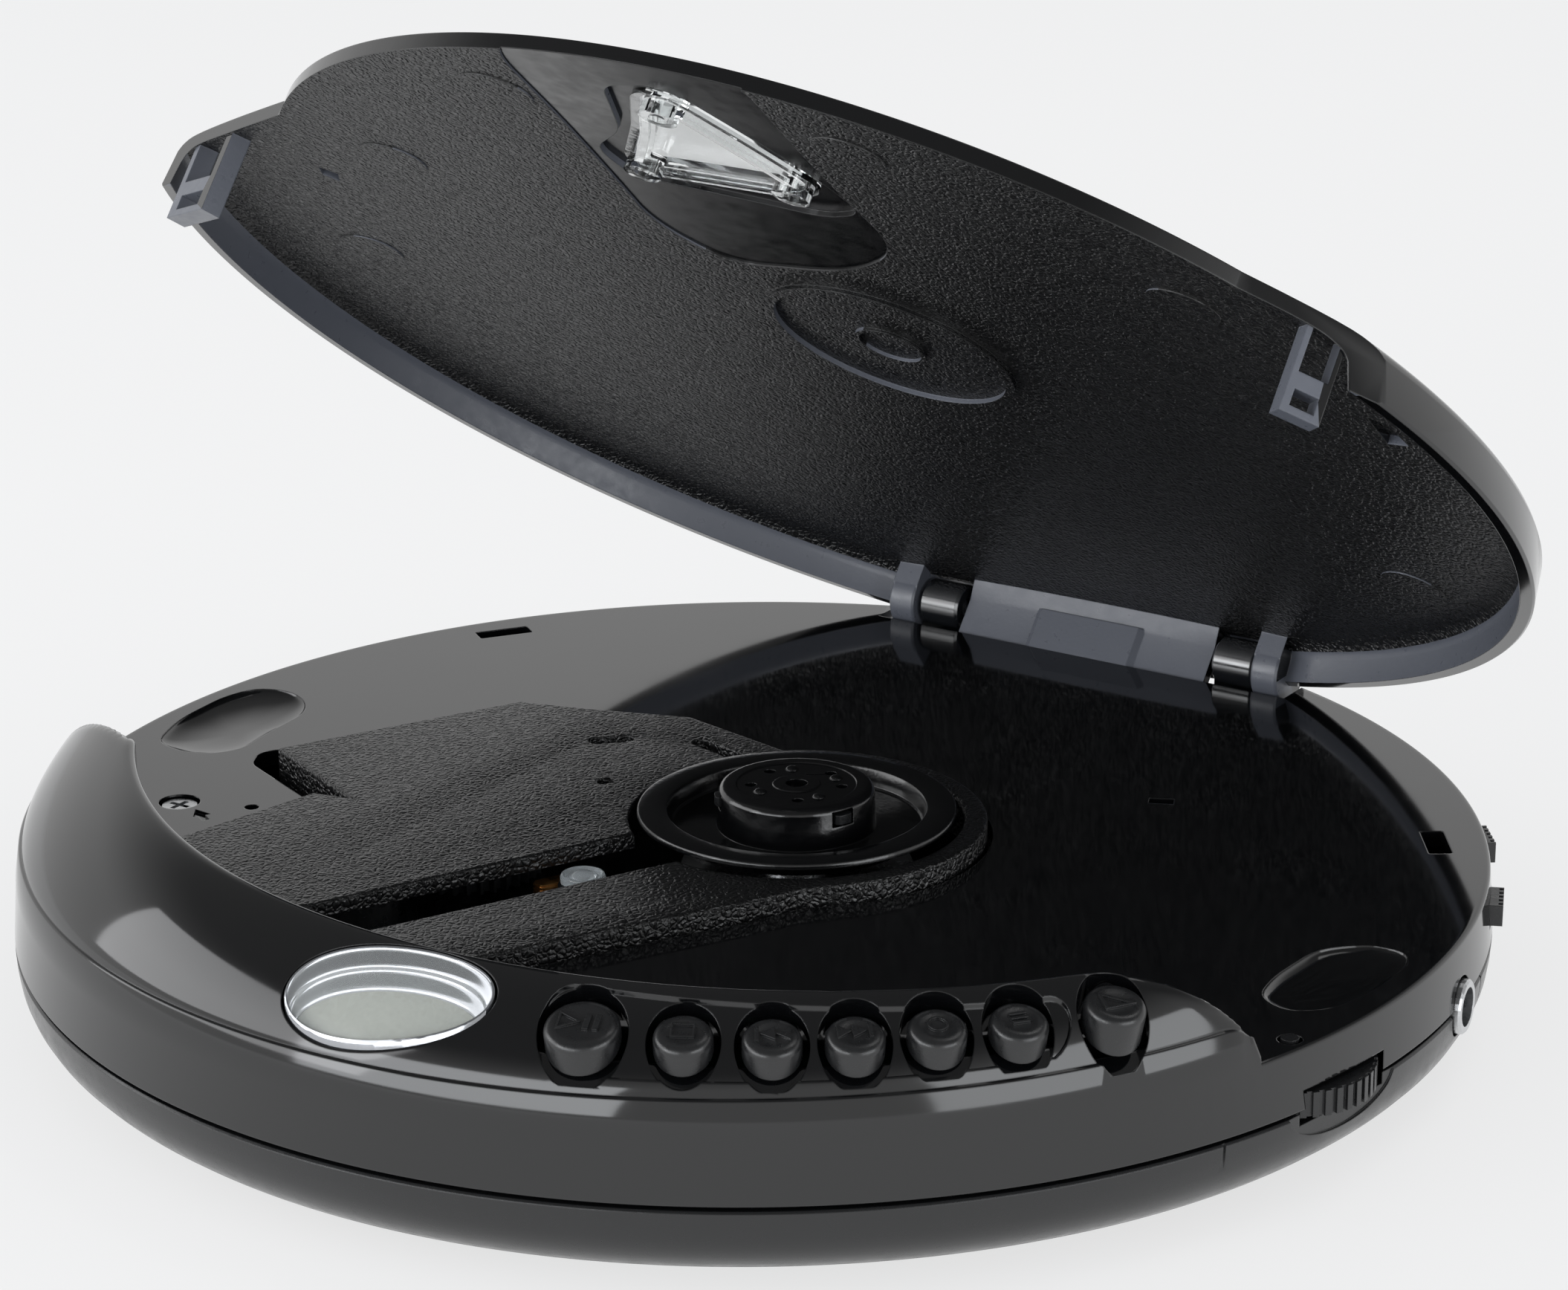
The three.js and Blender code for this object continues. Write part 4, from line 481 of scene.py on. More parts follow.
def display_loop(shrink, depth, steps=120):
    """Points of the display's wall at a depth under the brow; its far side leans in, its near side is upright."""
    loop = []
    for k in range(steps):
        turn = 2 * math.pi * k / steps
        lean_in = 0.8 * max(0.0, shrink - 0.42)
        point = DISPLAY @ Vector(((3.4 - shrink) * math.cos(turn) + lean_in, (9.8 - shrink) * math.sin(turn), 0))
        loop.append((point.x, point.y, brow_height(math.degrees(math.atan2(point.y, point.x)),
                                                   math.hypot(point.x, point.y)) - depth))
    return loop


def hoop(loops, name):
    """A closed ring through equal loops of points, the last joined to the first."""
    count, faces = len(loops[0]), []
    for s in range(len(loops)):
        after = (s + 1) % len(loops)
        for k in range(count):
            turn = (k + 1) % count
            faces.append((s * count + k, s * count + turn, after * count + turn, after * count + k))
    return made(name, [point for loop in loops for point in loop], faces)


def display_oval(shrink, steps=96):
    """The display's opening, from the deck upwards."""
    points = [((3.4 - shrink) * math.cos(2 * math.pi * k / steps), (9.8 - shrink) * math.sin(2 * math.pi * k / steps))
              for k in range(steps)]
    return slab(points, DECK_Z, HIGH, DISPLAY)


def in_disc(shares):
    """Plan points given in shares of the disc's radius."""
    return [(x * DISC_RADIUS, y * DISC_RADIUS) for x, y in shares]


def cover_outline(grow=0.0):
    ring = arc(18, 128, -45, 72, SPINDLE)
    brim = arc(DISC_RADIUS + 0.8, -103, -139, 28, SPINDLE)
    return offset(in_disc(COVER_LEFT) + ring + in_disc(COVER_BAR) + brim, grow)


def side_place(angle, radius=0):
    return spot(angle, *polar(radius, angle))


WHEEL_RADIUS = 8.0
WHEEL_PLACE = side_place(-9.2, BODY_RADIUS + 1.3 - WHEEL_RADIUS)
COVER_POCKET = ((-37.5, -18.3), (-51.6, -12.2), (-53.0, -9.5), (-52.0, -7.3), (-48.0, -8.0), (-36.0, -14.5))
THUMB_BOWLS = (((-63.8, -12.5), (-66.3, -6.4), (-67.0, 1.4), (-66.0, 5.3), (-62.5, 6.6), (-58.9, 5.0), (-56.8, 2.1),
                (-56.2, -3.8), (-55.3, -9.4), (-56.8, -12.1), (-59.7, -13.3)),
               ((62.3, -10.7), (58.7, -9.0), (57.8, -4.4), (58.1, 3.1), (61.7, 6.6), (65.0, 6.6), (66.4, 4.6),
                (66.6, -2.5), (65.4, -8.0)))
THUMB_DEPTH = 1.25
SCREWS = [polar(60.378, angle) for angle in (-45, -166, 150, 25)]


def thumb_bowl(outline):
    """A shallow bowl under a plan outline, its wall steep at the edge and its floor round."""
    edge = rounded(outline, 3.0, 4)
    centre = Vector((sum(x for x, _ in outline), sum(y for _, y in outline))) / len(outline)
    loops = [[(x, y, DECK_Z + 1) for x, y in edge]]
    for k in range(15):
        turn = math.radians(84 * k / 14)
        size, sunk = math.cos(turn) ** 0.8, THUMB_DEPTH * math.sin(turn)
        loops.append([(centre.x + (x - centre.x) * size, centre.y + (y - centre.y) * size, DECK_Z - sunk)
                      for x, y in edge])
    return lofted(loops, "bowl")


def side_rooms():
    """Openings in the side wall for the volume wheel and the two sockets."""
    wheel = rod(WHEEL_RADIUS + 0.5, 7.625, 10.925, 120, WHEEL_PLACE)
    jack = turned([(0, -13), (2.8, -13), (2.8, 1.5), (0, 1.5)], 64,
                  spot(9.5, *polar(BODY_RADIUS, 9.5), PART_Z) @ ALONG_X)
    power = turned([(0, -13), (3, -13), (3, 1), (0, 1)], 64, spot(52, *polar(BODY_RADIUS, 52), 8.85) @ ALONG_X)
    return wheel, jack, power


def along_end(end, side, along, across):
    (x0, y0), (x1, y1) = end
    length = math.hypot(x1 - x0, y1 - y0)
    nx, ny = -((y1 - y0) / length) * side, ((x1 - x0) / length) * side
    return x0 + (x1 - x0) * along + nx * across, y0 + (y1 - y0) * along + ny * across


def hook_plan(end, side, grow, across=None, shares=(0.42, 0.82)):
    across = grow if across is None else across
    length = math.hypot(end[1][0] - end[0][0], end[1][1] - end[0][1])
    start, stop = shares[0] - grow / length, shares[1] + grow / length
    near, far = 0.7 - across, 2.7 + across
    return [along_end(end, side, start, near), along_end(end, side, stop, near), along_end(end, side, stop, far),
            along_end(end, side, start, far)]


# Nodes
def several(tree, *kinds):
    """New nodes of a tree, one of each kind."""
    return [tree.nodes.new(kind) for kind in kinds]


def preset(node, **values):
    """Sets a node's inputs, a space in a name written as an underscore."""
    for name, value in values.items():
        node.inputs[name.replace("_", " ")].default_value = value
    return node


def wire(tree, *rows):
    """Joins nodes, each row a source, its output, a target and its input."""
    for source, output, target, slot in rows:
        tree.links.new(source.outputs[output], target.inputs[slot])


# Finishes
class Finish:
    """A material whose nodes are added one by one."""

    def __init__(self, name, colour, roughness, metallic=0.0):
        self.material = bpy.data.materials.new(name)
        self.material.use_nodes = True
        self.tree = self.material.node_tree
        self.nodes, self.links = self.tree.nodes, self.tree.links
        self.shader = preset(self.nodes["Principled BSDF"], Base_Color=(*colour, 1), Roughness=roughness,
                             Metallic=metallic)
        coordinates = self.nodes.new("ShaderNodeTexCoord")
        self.mapping = self.nodes.new("ShaderNodeMapping")
        self.links.new(coordinates.outputs["Object"], self.mapping.inputs["Vector"])
        self.normal = None

    def set(self, **values):
        preset(self.shader, **values)
        return self

    def noise(self, scale, detail):
        node = preset(self.nodes.new("ShaderNodeTexNoise"), Scale=scale, Detail=detail, Roughness=0.55)
        self.links.new(self.mapping.outputs["Vector"], node.inputs["Vector"])
        return node.outputs["Fac"]

    def cells(self, scale, vector=None, feature="DISTANCE_TO_EDGE"):
        node = self.nodes.new("ShaderNodeTexVoronoi")
        node.feature = feature
        node.inputs["Scale"].default_value = scale
        self.links.new(vector or self.mapping.outputs["Vector"], node.inputs["Vector"])
        return node.outputs["Distance"]

    def ranged(self, value, low, high, start=0.3, stop=0.7):
        node = preset(self.nodes.new("ShaderNodeMapRange"), From_Min=start, From_Max=stop, To_Min=low, To_Max=high)
        self.links.new(value, node.inputs["Value"])
        return node.outputs["Result"]

    def rough(self, value, low, high):
        self.links.new(self.ranged(value, low, high), self.shader.inputs["Roughness"])
        return self

    def tint(self, value, dark, light, start=0.3, stop=0.7):
        node = self.nodes.new("ShaderNodeValToRGB")
        node.color_ramp.elements[0].position, node.color_ramp.elements[0].color = start, (*dark, 1)
        node.color_ramp.elements[1].position, node.color_ramp.elements[1].color = stop, (*light, 1)
        self.links.new(value, node.inputs["Fac"])
        self.links.new(node.outputs["Color"], self.shader.inputs["Base Color"])
        return self

    def soft_edges(self, radius):
        node = self.nodes.new("ShaderNodeBevel")
        node.samples = 4
        node.inputs["Radius"].default_value = radius * MM
        self.normal = node.outputs["Normal"]
        self.links.new(self.normal, self.shader.inputs["Normal"])
        return self

    def bump(self, value, height, strength):
        """Raises the surface by a pattern, its height in millimetres."""
        node = preset(self.nodes.new("ShaderNodeBump"), Strength=strength, Distance=height * MM)
        self.links.new(value, node.inputs["Height"])
        if self.normal is not None:
            self.links.new(self.normal, node.inputs["Normal"])
        self.normal = node.outputs["Normal"]
        self.links.new(self.normal, self.shader.inputs["Normal"])
        return self

    def surface(self, wear, limits, edge, relief, height):
        """Uneven roughness, softened edges and a fine relief."""
        return self.rough(self.noise(*wear), *limits).soft_edges(edge).bump(self.noise(*relief), *height)


def tone(name):
    """A colour that the user may change."""
    return tuple(getattr(bpy.context.scene.player_colours, name))


def times(colour, factor):
    return tuple(min(1.0, factor * part) for part in colour)


def gloss():
    """Polished black moulding of the upper shell and the lid."""
    made_of = Finish("gloss_black_shell", tone("shell"), 0.07).set(IOR=1.68)
    made_of.surface((90, 4), (0.05, 0.1), 0.16, (60, 2), (0.02, 0.25))
    return made_of


def matt():
    """Smoother, slightly duller belly and battery door."""
    made_of = Finish("satin_belly", tone("belly"), 0.3).set(IOR=1.62)
    made_of.surface((700, 4), (0.2, 0.3), 0.16, (3800, 2), (0.015, 0.3))
    made_of.tint(made_of.noise(45, 3), times(tone("belly"), 0.9), times(tone("belly"), 1.1))
    return made_of


def leather(name, depth, low, high):
    """Moulded grain of short crossing wrinkles."""
    made_of = Finish(name, tone("cover"), 0.42).set(IOR=1.62)
    width = bpy.context.scene.player_sizes.grain * MM
    per_metre = 1 / width
    wander = preset(made_of.nodes.new("ShaderNodeTexNoise"), Scale=per_metre * 0.8, Detail=2.0)
    push = made_of.nodes.new("ShaderNodeVectorMath")
    push.operation = "MULTIPLY_ADD"
    push.inputs[1].default_value = (width,) * 3
    wire(made_of.tree, (made_of.mapping, "Vector", wander, "Vector"), (wander, "Color", push, 0),
         (made_of.mapping, "Vector", push, 2))
    wrinkle = made_of.cells(per_metre, push.outputs["Vector"])
    made_of.rough(made_of.noise(per_metre * 0.7, 3), low, high).soft_edges(0.12)
    made_of.bump(made_of.ranged(wrinkle, 0, 1, 0.0, 0.3), 0.1 * depth, 0.9)
    made_of.bump(made_of.noise(per_metre * 2.2, 3), 0.045 * depth, 0.6)
    return made_of


def grain():
    return leather("grained_cover_black", 1.0, 0.27, 0.38)


def lid_grain():
    return leather("grained_ceiling_black", 1.5, 0.3, 0.42)


def lid_wall():
    """Satin of the lid's inner walls, hooks and hinge ears: the lid's black moulding with painted light, coloured
    lighter and bluish where the front light falls.
    """
    # Painted light: this colour is a lighter, bluish copy of the lid's black plastic, which stands in for the light on
    # these walls.
    made_of = Finish("satin_lid_wall", (0.13, 0.139, 0.166), 0.34).set(IOR=1.62)
    made_of.surface((900, 4), (0.26, 0.4), 0.2, (2600, 3), (0.02, 0.5))
    return made_of


def wedge():
    """Smooth panel of the lid's ceiling around the clear window."""
    made_of = Finish("smooth_wedge", tone("shell"), 0.2).set(IOR=1.42)
    made_of.surface((500, 3), (0.16, 0.26), 0.15, (300, 3), (0.02, 0.3))
    return made_of


def keys():
    """Satin black of the keys and knobs."""
    made_of = Finish("satin_key", tone("keys"), 0.33).set(IOR=1.62)
    made_of.surface((1600, 4), (0.24, 0.36), 0.1, (4200, 2), (0.02, 0.5))
    return made_of


def platter():
    """Glossy black nylon of the turntable, faintly textured."""
    made_of = Finish("platter_black", times(tone("shell"), 0.8), 0.16).set(IOR=1.65)
    made_of.surface((900, 3), (0.12, 0.2), 0.12, (2200, 3), (0.03, 0.5))
    return made_of


def barrel():
    """Hinge barrels, polished by the lid's ears."""
    made_of = Finish("polished_barrel", (0.012, 0.013, 0.015), 0.15).set(IOR=2.0)
    made_of.rough(made_of.noise(400, 3), 0.12, 0.2).soft_edges(0.15)
    return made_of


def clear_plastic(name, tone, through_share, low, high):
    """Clear moulding that lets light through to what lies behind it."""
    made_of = Finish(name, tone, low).set(Transmission_Weight=through_share, IOR=1.5)
    made_of.rough(made_of.noise(300, 3), low, high).bump(made_of.noise(500, 2), 0.02, 0.3)
    path, through, mixed = several(made_of.tree, "ShaderNodeLightPath", "ShaderNodeBsdfTransparent",
                                   "ShaderNodeMixShader")
    wire(made_of.tree, (path, "Is Shadow Ray", mixed, "Fac"), (made_of.shader, "BSDF", mixed, 1),
         (through, "BSDF", mixed, 2), (mixed, "Shader", made_of.nodes["Material Output"], "Surface"))
    return made_of


def clear():
    return clear_plastic("clear_pane", (0.96, 0.98, 0.98), 1.0, 0.01, 0.04)


def lens():
    # The lens is clear. The pale base colour on the share that is not let through is a painted highlight, which makes
    # the lens read bright.
    return clear_plastic("lens_clear", (0.78, 0.83, 0.85), 0.72, 0.02, 0.05)


def glass():
    """Thin window over the display's face."""
    made_of = Finish("display_glass", (0.8, 0.84, 0.82), 0.04).set(IOR=1.5, Alpha=0.12)
    made_of.rough(made_of.noise(200, 3), 0.03, 0.07)
    return made_of


def screen():
    """Grey-green face of the display, unlit."""
    made_of = Finish("screen_face", tone("screen"), 0.3).set(IOR=1.5)
    made_of.tint(made_of.noise(70, 2), times(tone("screen"), 0.86), times(tone("screen"), 1.1))
    made_of.rough(made_of.noise(900, 3), 0.22, 0.34)
    return made_of


def rim():
    """Bright bevelled wall inside the display's opening."""
    made_of = Finish("screen_rim", (0.42, 0.43, 0.45), 0.12, 0.9)
    made_of.rough(made_of.noise(500, 3), 0.08, 0.16)
    return made_of


def metal(name, colour, low, high):
    made_of = Finish(name, colour, low, 1.0)
    made_of.rough(made_of.noise(900, 5), low, high).soft_edges(0.08).bump(made_of.noise(2500, 3), 0.006, 0.4)
    return made_of


def steel():
    return metal("steel_part", (0.62, 0.63, 0.64), 0.22, 0.36)


def dark_steel():
    return metal("dark_steel_part", (0.12, 0.125, 0.13), 0.3, 0.45)


def brass():
    return metal("brass_part", (0.55, 0.29, 0.1), 0.25, 0.4)


def board():
    """Green circuit board with its mottled mask."""
    made_of = Finish("green_board", (0.02, 0.1, 0.04), 0.4)
    made_of.tint(made_of.cells(420, feature="F1"), (0.015, 0.075, 0.03), (0.04, 0.15, 0.06), 0.1, 0.6)
    made_of.rough(made_of.noise(600, 3), 0.3, 0.5).bump(made_of.noise(900, 3), 0.02, 0.5)
    return made_of


def rubber():
    made_of = Finish("soft_rubber", (0.012, 0.012, 0.012), 0.8).set(IOR=1.45)
    made_of.rough(made_of.noise(700, 4), 0.65, 0.85).bump(made_of.noise(1800, 4), 0.03, 0.5)
    return made_of


def nylon():
    """Dark nylon of the rack and the gear."""
    made_of = Finish("dark_nylon", (0.02, 0.021, 0.023), 0.42).set(IOR=1.5)
    made_of.surface((500, 3), (0.35, 0.5), 0.08, (2000, 3), (0.01, 0.4))
    return made_of


FINISH_MAKERS = {one.__name__: one for one in (
    gloss, matt, grain, lid_grain, lid_wall, wedge, keys, platter, barrel, clear, lens, glass, screen, rim, steel,
    dark_steel, brass, board, rubber, nylon)}
FINISHES = {}


def finish(name):
    """A finish by its name, made the first time that it is asked for."""
    if name not in FINISHES:
        FINISHES[name] = FINISH_MAKERS[name]().material
    return FINISHES[name]


# User settings
def length(name, description, default, low, high):
    return bpy.props.FloatProperty(name=name, description=description + ", in millimetres", default=default, min=low,
                                   max=high)


def colour(name, description, *default):
    return bpy.props.FloatVectorProperty(name=name, description=description, default=default, size=3,
                                         subtype="COLOR", min=0, max=1)


class PlayerSizes(bpy.types.PropertyGroup):
    """Sizes of the details that a user may change."""

    emboss: length("Emboss height", "Height of the signs on the keys", 0.2, 0.05, 0.5)
    recess: length("Recess depth", "Depth of the long recess round the keys", 0.45, 0.1, 0.8)
    grain: length("Grain size", "Width of one wrinkle of the moulded grain", 0.62, 0.2, 2.0)
    ribs: bpy.props.IntProperty(
        name="Wheel ribs", description="Number of ribs round the volume wheel", default=44, min=12, max=90)


class PlayerColours(bpy.types.PropertyGroup):
    """Colours of the moulded parts."""

    shell: colour("Shell", "Gloss shell and lid", 0.003, 0.0032, 0.0037)
    belly: colour("Belly", "Bottom shell and battery door", 0.009, 0.0093, 0.01)
    cover: colour("Cover", "Grained cover and the lid's ceiling", 0.005, 0.005, 0.0053)
    keys: colour("Keys", "Satin keys", 0.012, 0.0123, 0.013)
    screen: colour("Screen", "Face of the display", 0.4, 0.405, 0.35)


class MakeUpperShell(bpy.types.Operator):
    """Deck, side wall, brow and hinge barrels of the upper shell"""

    bl_idname = "player.upper_shell"
    bl_label = "Upper shell"

    def execute(self, context):
        sizes = context.scene.player_sizes
        rim = [(RIM_RADIUS - 0.4 + 0.4 * math.cos(t), DECK_Z - 0.4 + 0.4 * math.sin(t))
               for t in (math.radians(90 * k / 6) for k in range(7))]
        outer = [(0, 9), (BODY_RADIUS - 0.35, 9), (BODY_RADIUS - 0.2, 9.0), (BODY_RADIUS, 9.2)] + rim
        outer += [(RIM_RADIUS - 0.7, DECK_Z), (0, DECK_Z)]
        inner = [(0, 8), (BODY_RADIUS - WALL, 8), (RIM_RADIUS - WALL, DECK_UNDER_Z), (0, DECK_UNDER_Z)]
        brow = cut(brow_solid(), *end_cutters(0))
        hollow = cut(brow_hollow(), *end_cutters(-1.2))
        shell = add(turned(outer, 360), brow)
        shell = cut(shell, turned(inner, 180), hollow)
        trough = common(block(-NOTCH_HALF - WALL, NOTCH_HALF + WALL, NOTCH_FRONT - WALL, BODY_RADIUS,
                              NOTCH_FLOOR - WALL, DECK_Z),
                        turned([(0, PART_Z), (BODY_RADIUS - 0.8, PART_Z), (RIM_RADIUS - 0.8, DECK_Z), (0, DECK_Z)],
                               180))
        shell = add(shell, trough)
        shell = cut(shell, block(-NOTCH_HALF, NOTCH_HALF, NOTCH_FRONT, BODY_RADIUS + 1, NOTCH_FLOOR, 2 * HINGE_Z))
        for side in (-1, 1):
            centre = side * (BARREL_X + BARREL_LENGTH / 2)
            half = BARREL_LENGTH / 2
            place = Matrix.Translation((centre, HINGE_Y, HINGE_Z)) @ ALONG_X
            barrel = bevelled_rod(BARREL_RADIUS, -half, half, 0.25, place)
            foot = block(centre - half, centre + half, HINGE_Y - 1.6, HINGE_Y + 1.6, NOTCH_FLOOR - 0.8, HINGE_Z)
            shell = add(shell, barrel, foot)
            shell = cut(shell, rod(PIN_RADIUS + GAP, -BARREL_LENGTH, BARREL_LENGTH, 32, place))
        for x, y in SCREWS:
            shell = add(shell, rod(2.6, PART_Z + GAP, DECK_UNDER_Z + 0.8, 32, spot(0, x, y)))
            shell = cut(shell, rod(1.3, PART_Z, DECK_UNDER_Z - GAP, 24, spot(0, x, y)))
        far = [slab(cover_outline(0.5), 0, HIGH), slab(rounded(COVER_POCKET, 1.0), 12, HIGH), *side_rooms()]
        for angle in SWITCH_ANGLES:
            far.append(block(BODY_RADIUS - 4.8, BODY_RADIUS + 1, -3.8, 3.8, 10.6, 13.2, side_place(angle)))
        for x, y, turn in DECK_WINDOWS:
            far.append(slab(rounded(oblong(-2.9, 2.9, 1.1), 0.25), 12, 16, spot(turn, x, y)))
        far += [rod(2.0, 12, 16, 48, spot(0, *DECK_SCREW)), rod(0.7, 12, 16, 24, spot(0, -43.8, -21.4)),
                rod(1.1, 12, 16, 32, spot(0, *INTERLOCK)), rod(1.4, 8, 12.6, 32, spot(0, *INTERLOCK))]
        arrow = [(-1.6, 0.35), (-0.3, 0.35), (-0.3, 0.9), (1.6, 0), (-0.3, -0.9), (-0.3, -0.35), (-1.6, -0.35)]
        far.append(slab(arrow, DECK_Z - 0.3, 16, spot(150, -46.6, -25.6)))
        far.append(slab(oblong(-1.2, 1.2, 0.7), DECK_Z - 0.8, 16, spot(25, 28.6, 27.6)))
        shell = cut(shell, *far)
        shell = cut(shell, *[thumb_bowl(outline) for outline in THUMB_BOWLS])
        pill = slab(pill_outline(), DECK_Z + 1, HIGH)
        shell = cut(shell, cut(pill, brow_sink(sizes.recess, *PILL_SPAN)))
        pockets = [key_pocket(key_place(angle, share), radius, 2.6 if name == "open_button" else 1.7)
                   for name, _, angle, share, radius, _ in KEYS]
        shell = cut(shell, *pockets)
        shell = cut(shell, cut(display_oval(0), brow_sink(DISPLAY_DEPTH + 0.7, *DISPLAY_SPAN)))
        shell = cut(shell, slab(hook_plan(RIGHT_END, 1, 0.5), 12, 40), slab(hook_plan(LEFT_END, -1, 0.5), 12, 40))
        finished(shell, "upper_shell", "base", [finish("gloss"), finish("barrel")], ["top_shell"])
        for face in shell.data.polygons:
            centre = face.center / MM
            near = math.hypot(centre.y - HINGE_Y, centre.z - HINGE_Z) < BARREL_RADIUS + 0.1
            if near and abs(centre.x) > BARREL_X - 0.1 and centre.z > HINGE_Z - 2.45:
                face.material_index = 1
        return {"FINISHED"}


def belly_profile(inset):
    bottom = FOOT + inset
    curve = []
    for radius, height in ((0.911, 0.05), (0.934, 0.12), (0.955, 0.21), (0.97, 0.31), (0.983, 0.43), (0.991, 0.55),
                           (0.996, 0.67), (0.999, 0.84)):
        curve.append((radius * BODY_RADIUS - inset * math.sqrt(height), FOOT + height * 8.1 + inset * (1 - height)))
    if inset:
        return [(0, bottom), (59, bottom), *curve, (BODY_RADIUS - inset, PART_Z + 1), (0, PART_Z + 1)]
    edge = [(BODY_RADIUS, PART_Z - 0.2), (BODY_RADIUS - 0.2, PART_Z), (BODY_RADIUS - 0.4, PART_Z), (0, PART_Z)]
    return [(0, bottom), (58, bottom), (59, bottom), *curve, *edge]


class MakeLowerShell(bpy.types.Operator):
    """Belly with its battery bay, screw wells and foot seats"""

    bl_idname = "player.lower_shell"
    bl_label = "Lower shell"

    def execute(self, context):
        shell = cut(turned(belly_profile(0), 360), turned(belly_profile(WALL), 180))
        top = DECK_UNDER_Z - GAP
        shell = add(shell, common(block(-25.2, 25.2, 33.2, 57.8, 1.4, top), rod(BODY_RADIUS - WALL, 0, top, 180)))
        posts = [(x, y, 2.6, PART_Z) for x, y in SCREWS]
        for x, y in CHASSIS_POSTS:
            spotted = TRAVEL @ Vector((x, y, 0))
            posts.append((spotted.x, spotted.y, 1.5, 6.2))
        posts += [(x, y, 1.5, 4.3) for x, y in BOARD_POSTS]
        shell = add(shell, *[rod(radius, 1.4, high, 32, spot(0, x, y)) for x, y, radius, high in posts])
        tools = [block(-24, 24, 34.4, 56.6, 0, top + 1), *side_rooms()]
        tools.append(rod(0.65, -26.2, 26.2, 24, Matrix.Translation((0, 36.35, 1.4)) @ ALONG_X))
        for x, y in SCREWS:
            tools += [rod(1.3, 0, PART_Z + 1, 24, spot(0, x, y)), rod(2.2, 0, 2.6, 40, spot(0, x, y))]
        tools += [rod(4.3, 0, 1.2, 64, spot(0, *polar(FOOT_PLACE, angle))) for angle in FOOT_ANGLES]
        for angle in CASE_MARK_ANGLES:
            tools.append(block(BODY_RADIUS - 0.22, BODY_RADIUS + 1, -0.14, 0.14, 5.3, PART_Z + 1, side_place(angle)))
        tools.append(rod(7.4, -0.55, 3, 64, spot(-9.2, *polar(BODY_RADIUS, -9.2), 8.9) @ ALONG_X
                         @ Matrix.Diagonal((0.42, 1, 1, 1))))
        shell = cut(shell, *tools)
        finished(shell, "lower_shell", "base", finish("matt"), ["bottom_shell"])
        return {"FINISHED"}


def lid_profile(shares, crown, *rest):
    """The lid's section with its few stations drawn out into a smooth curve."""
    points = [(0, crown)] + [(r * LID_RADIUS, LID_RIM_Z + h * LID_CROWN) for r, h in shares]
    smooth = [points[0]]
    for k in range(len(points) - 1):
        p0, p1, p2 = points[max(0, k - 1)], points[k], points[k + 1]
        p3 = points[min(len(points) - 1, k + 2)]
        if k == 0:
            p0 = (-points[1][0], points[1][1])
        pieces = 10 if k < 3 else 4
        for s in range(1, pieces + 1):
            t = s / pieces
            smooth.append(tuple(0.5 * (2 * b + (c - a) * t + (2 * a - 5 * b + 4 * c - d) * t ** 2
                                       + (3 * b - a - 3 * c + d) * t ** 3) for a, b, c, d in zip(p0, p1, p2, p3)))
    return [*smooth, *rest]


def lid_outer(bottom=LID_RIM_Z, lower=0.0, steps=360):
    edge = [(LID_RADIUS, bottom)]
    if bottom == LID_RIM_Z and not lower:
        edge = [(LID_RADIUS, bottom + 0.25), (LID_RADIUS - 0.2, bottom), (LID_RADIUS - 0.35, bottom)]
    profile = lid_profile(LID_OUTER, LID_RIM_Z + LID_CROWN, *edge, (0, bottom))
    return turned([(r, z - lower) for r, z in profile], steps)


def lid_inner(lower=0.0, steps=240):
    rim_radius, low = 0.98 * LID_RADIUS, LID_RIM_Z - 1
    profile = lid_profile(LID_INNER, LID_RIM_Z + 0.813 * LID_CROWN, (rim_radius, LID_RIM_Z), (rim_radius, low),
                          (0, low))
    return turned([(r, z - lower) for r, z in profile], steps)


def ceiling_layer(upper, lower, steps=180):
    """A layer under the lid's ceiling between two depths."""
    return cut(lid_inner(upper, steps), lid_inner(lower, steps))


def brow_room():
    """Space that the closed lid leaves for the brow."""
    reach = BODY_RADIUS + 1
    front = block(-reach, reach, -reach, -15, 0, 30)
    return cut(front, rod(WELL_RADIUS - 0.4, -1, 60, 360, spot(0, *SPINDLE)), *end_cutters(0.5))


def raised(obj):
    """Turns a piece modelled on the closed lid to the open pose of the frame."""
    about = Matrix.Translation((0, HINGE_Y * MM, HINGE_Z * MM))
    obj.data.transform(about @ Matrix.Rotation(math.radians(-OPEN_ANGLE), 4, "X") @ about.inverted())
    return obj


def window_outline(grow):
    return rounded(offset(in_disc(WINDOW), grow), 1.2, 6)


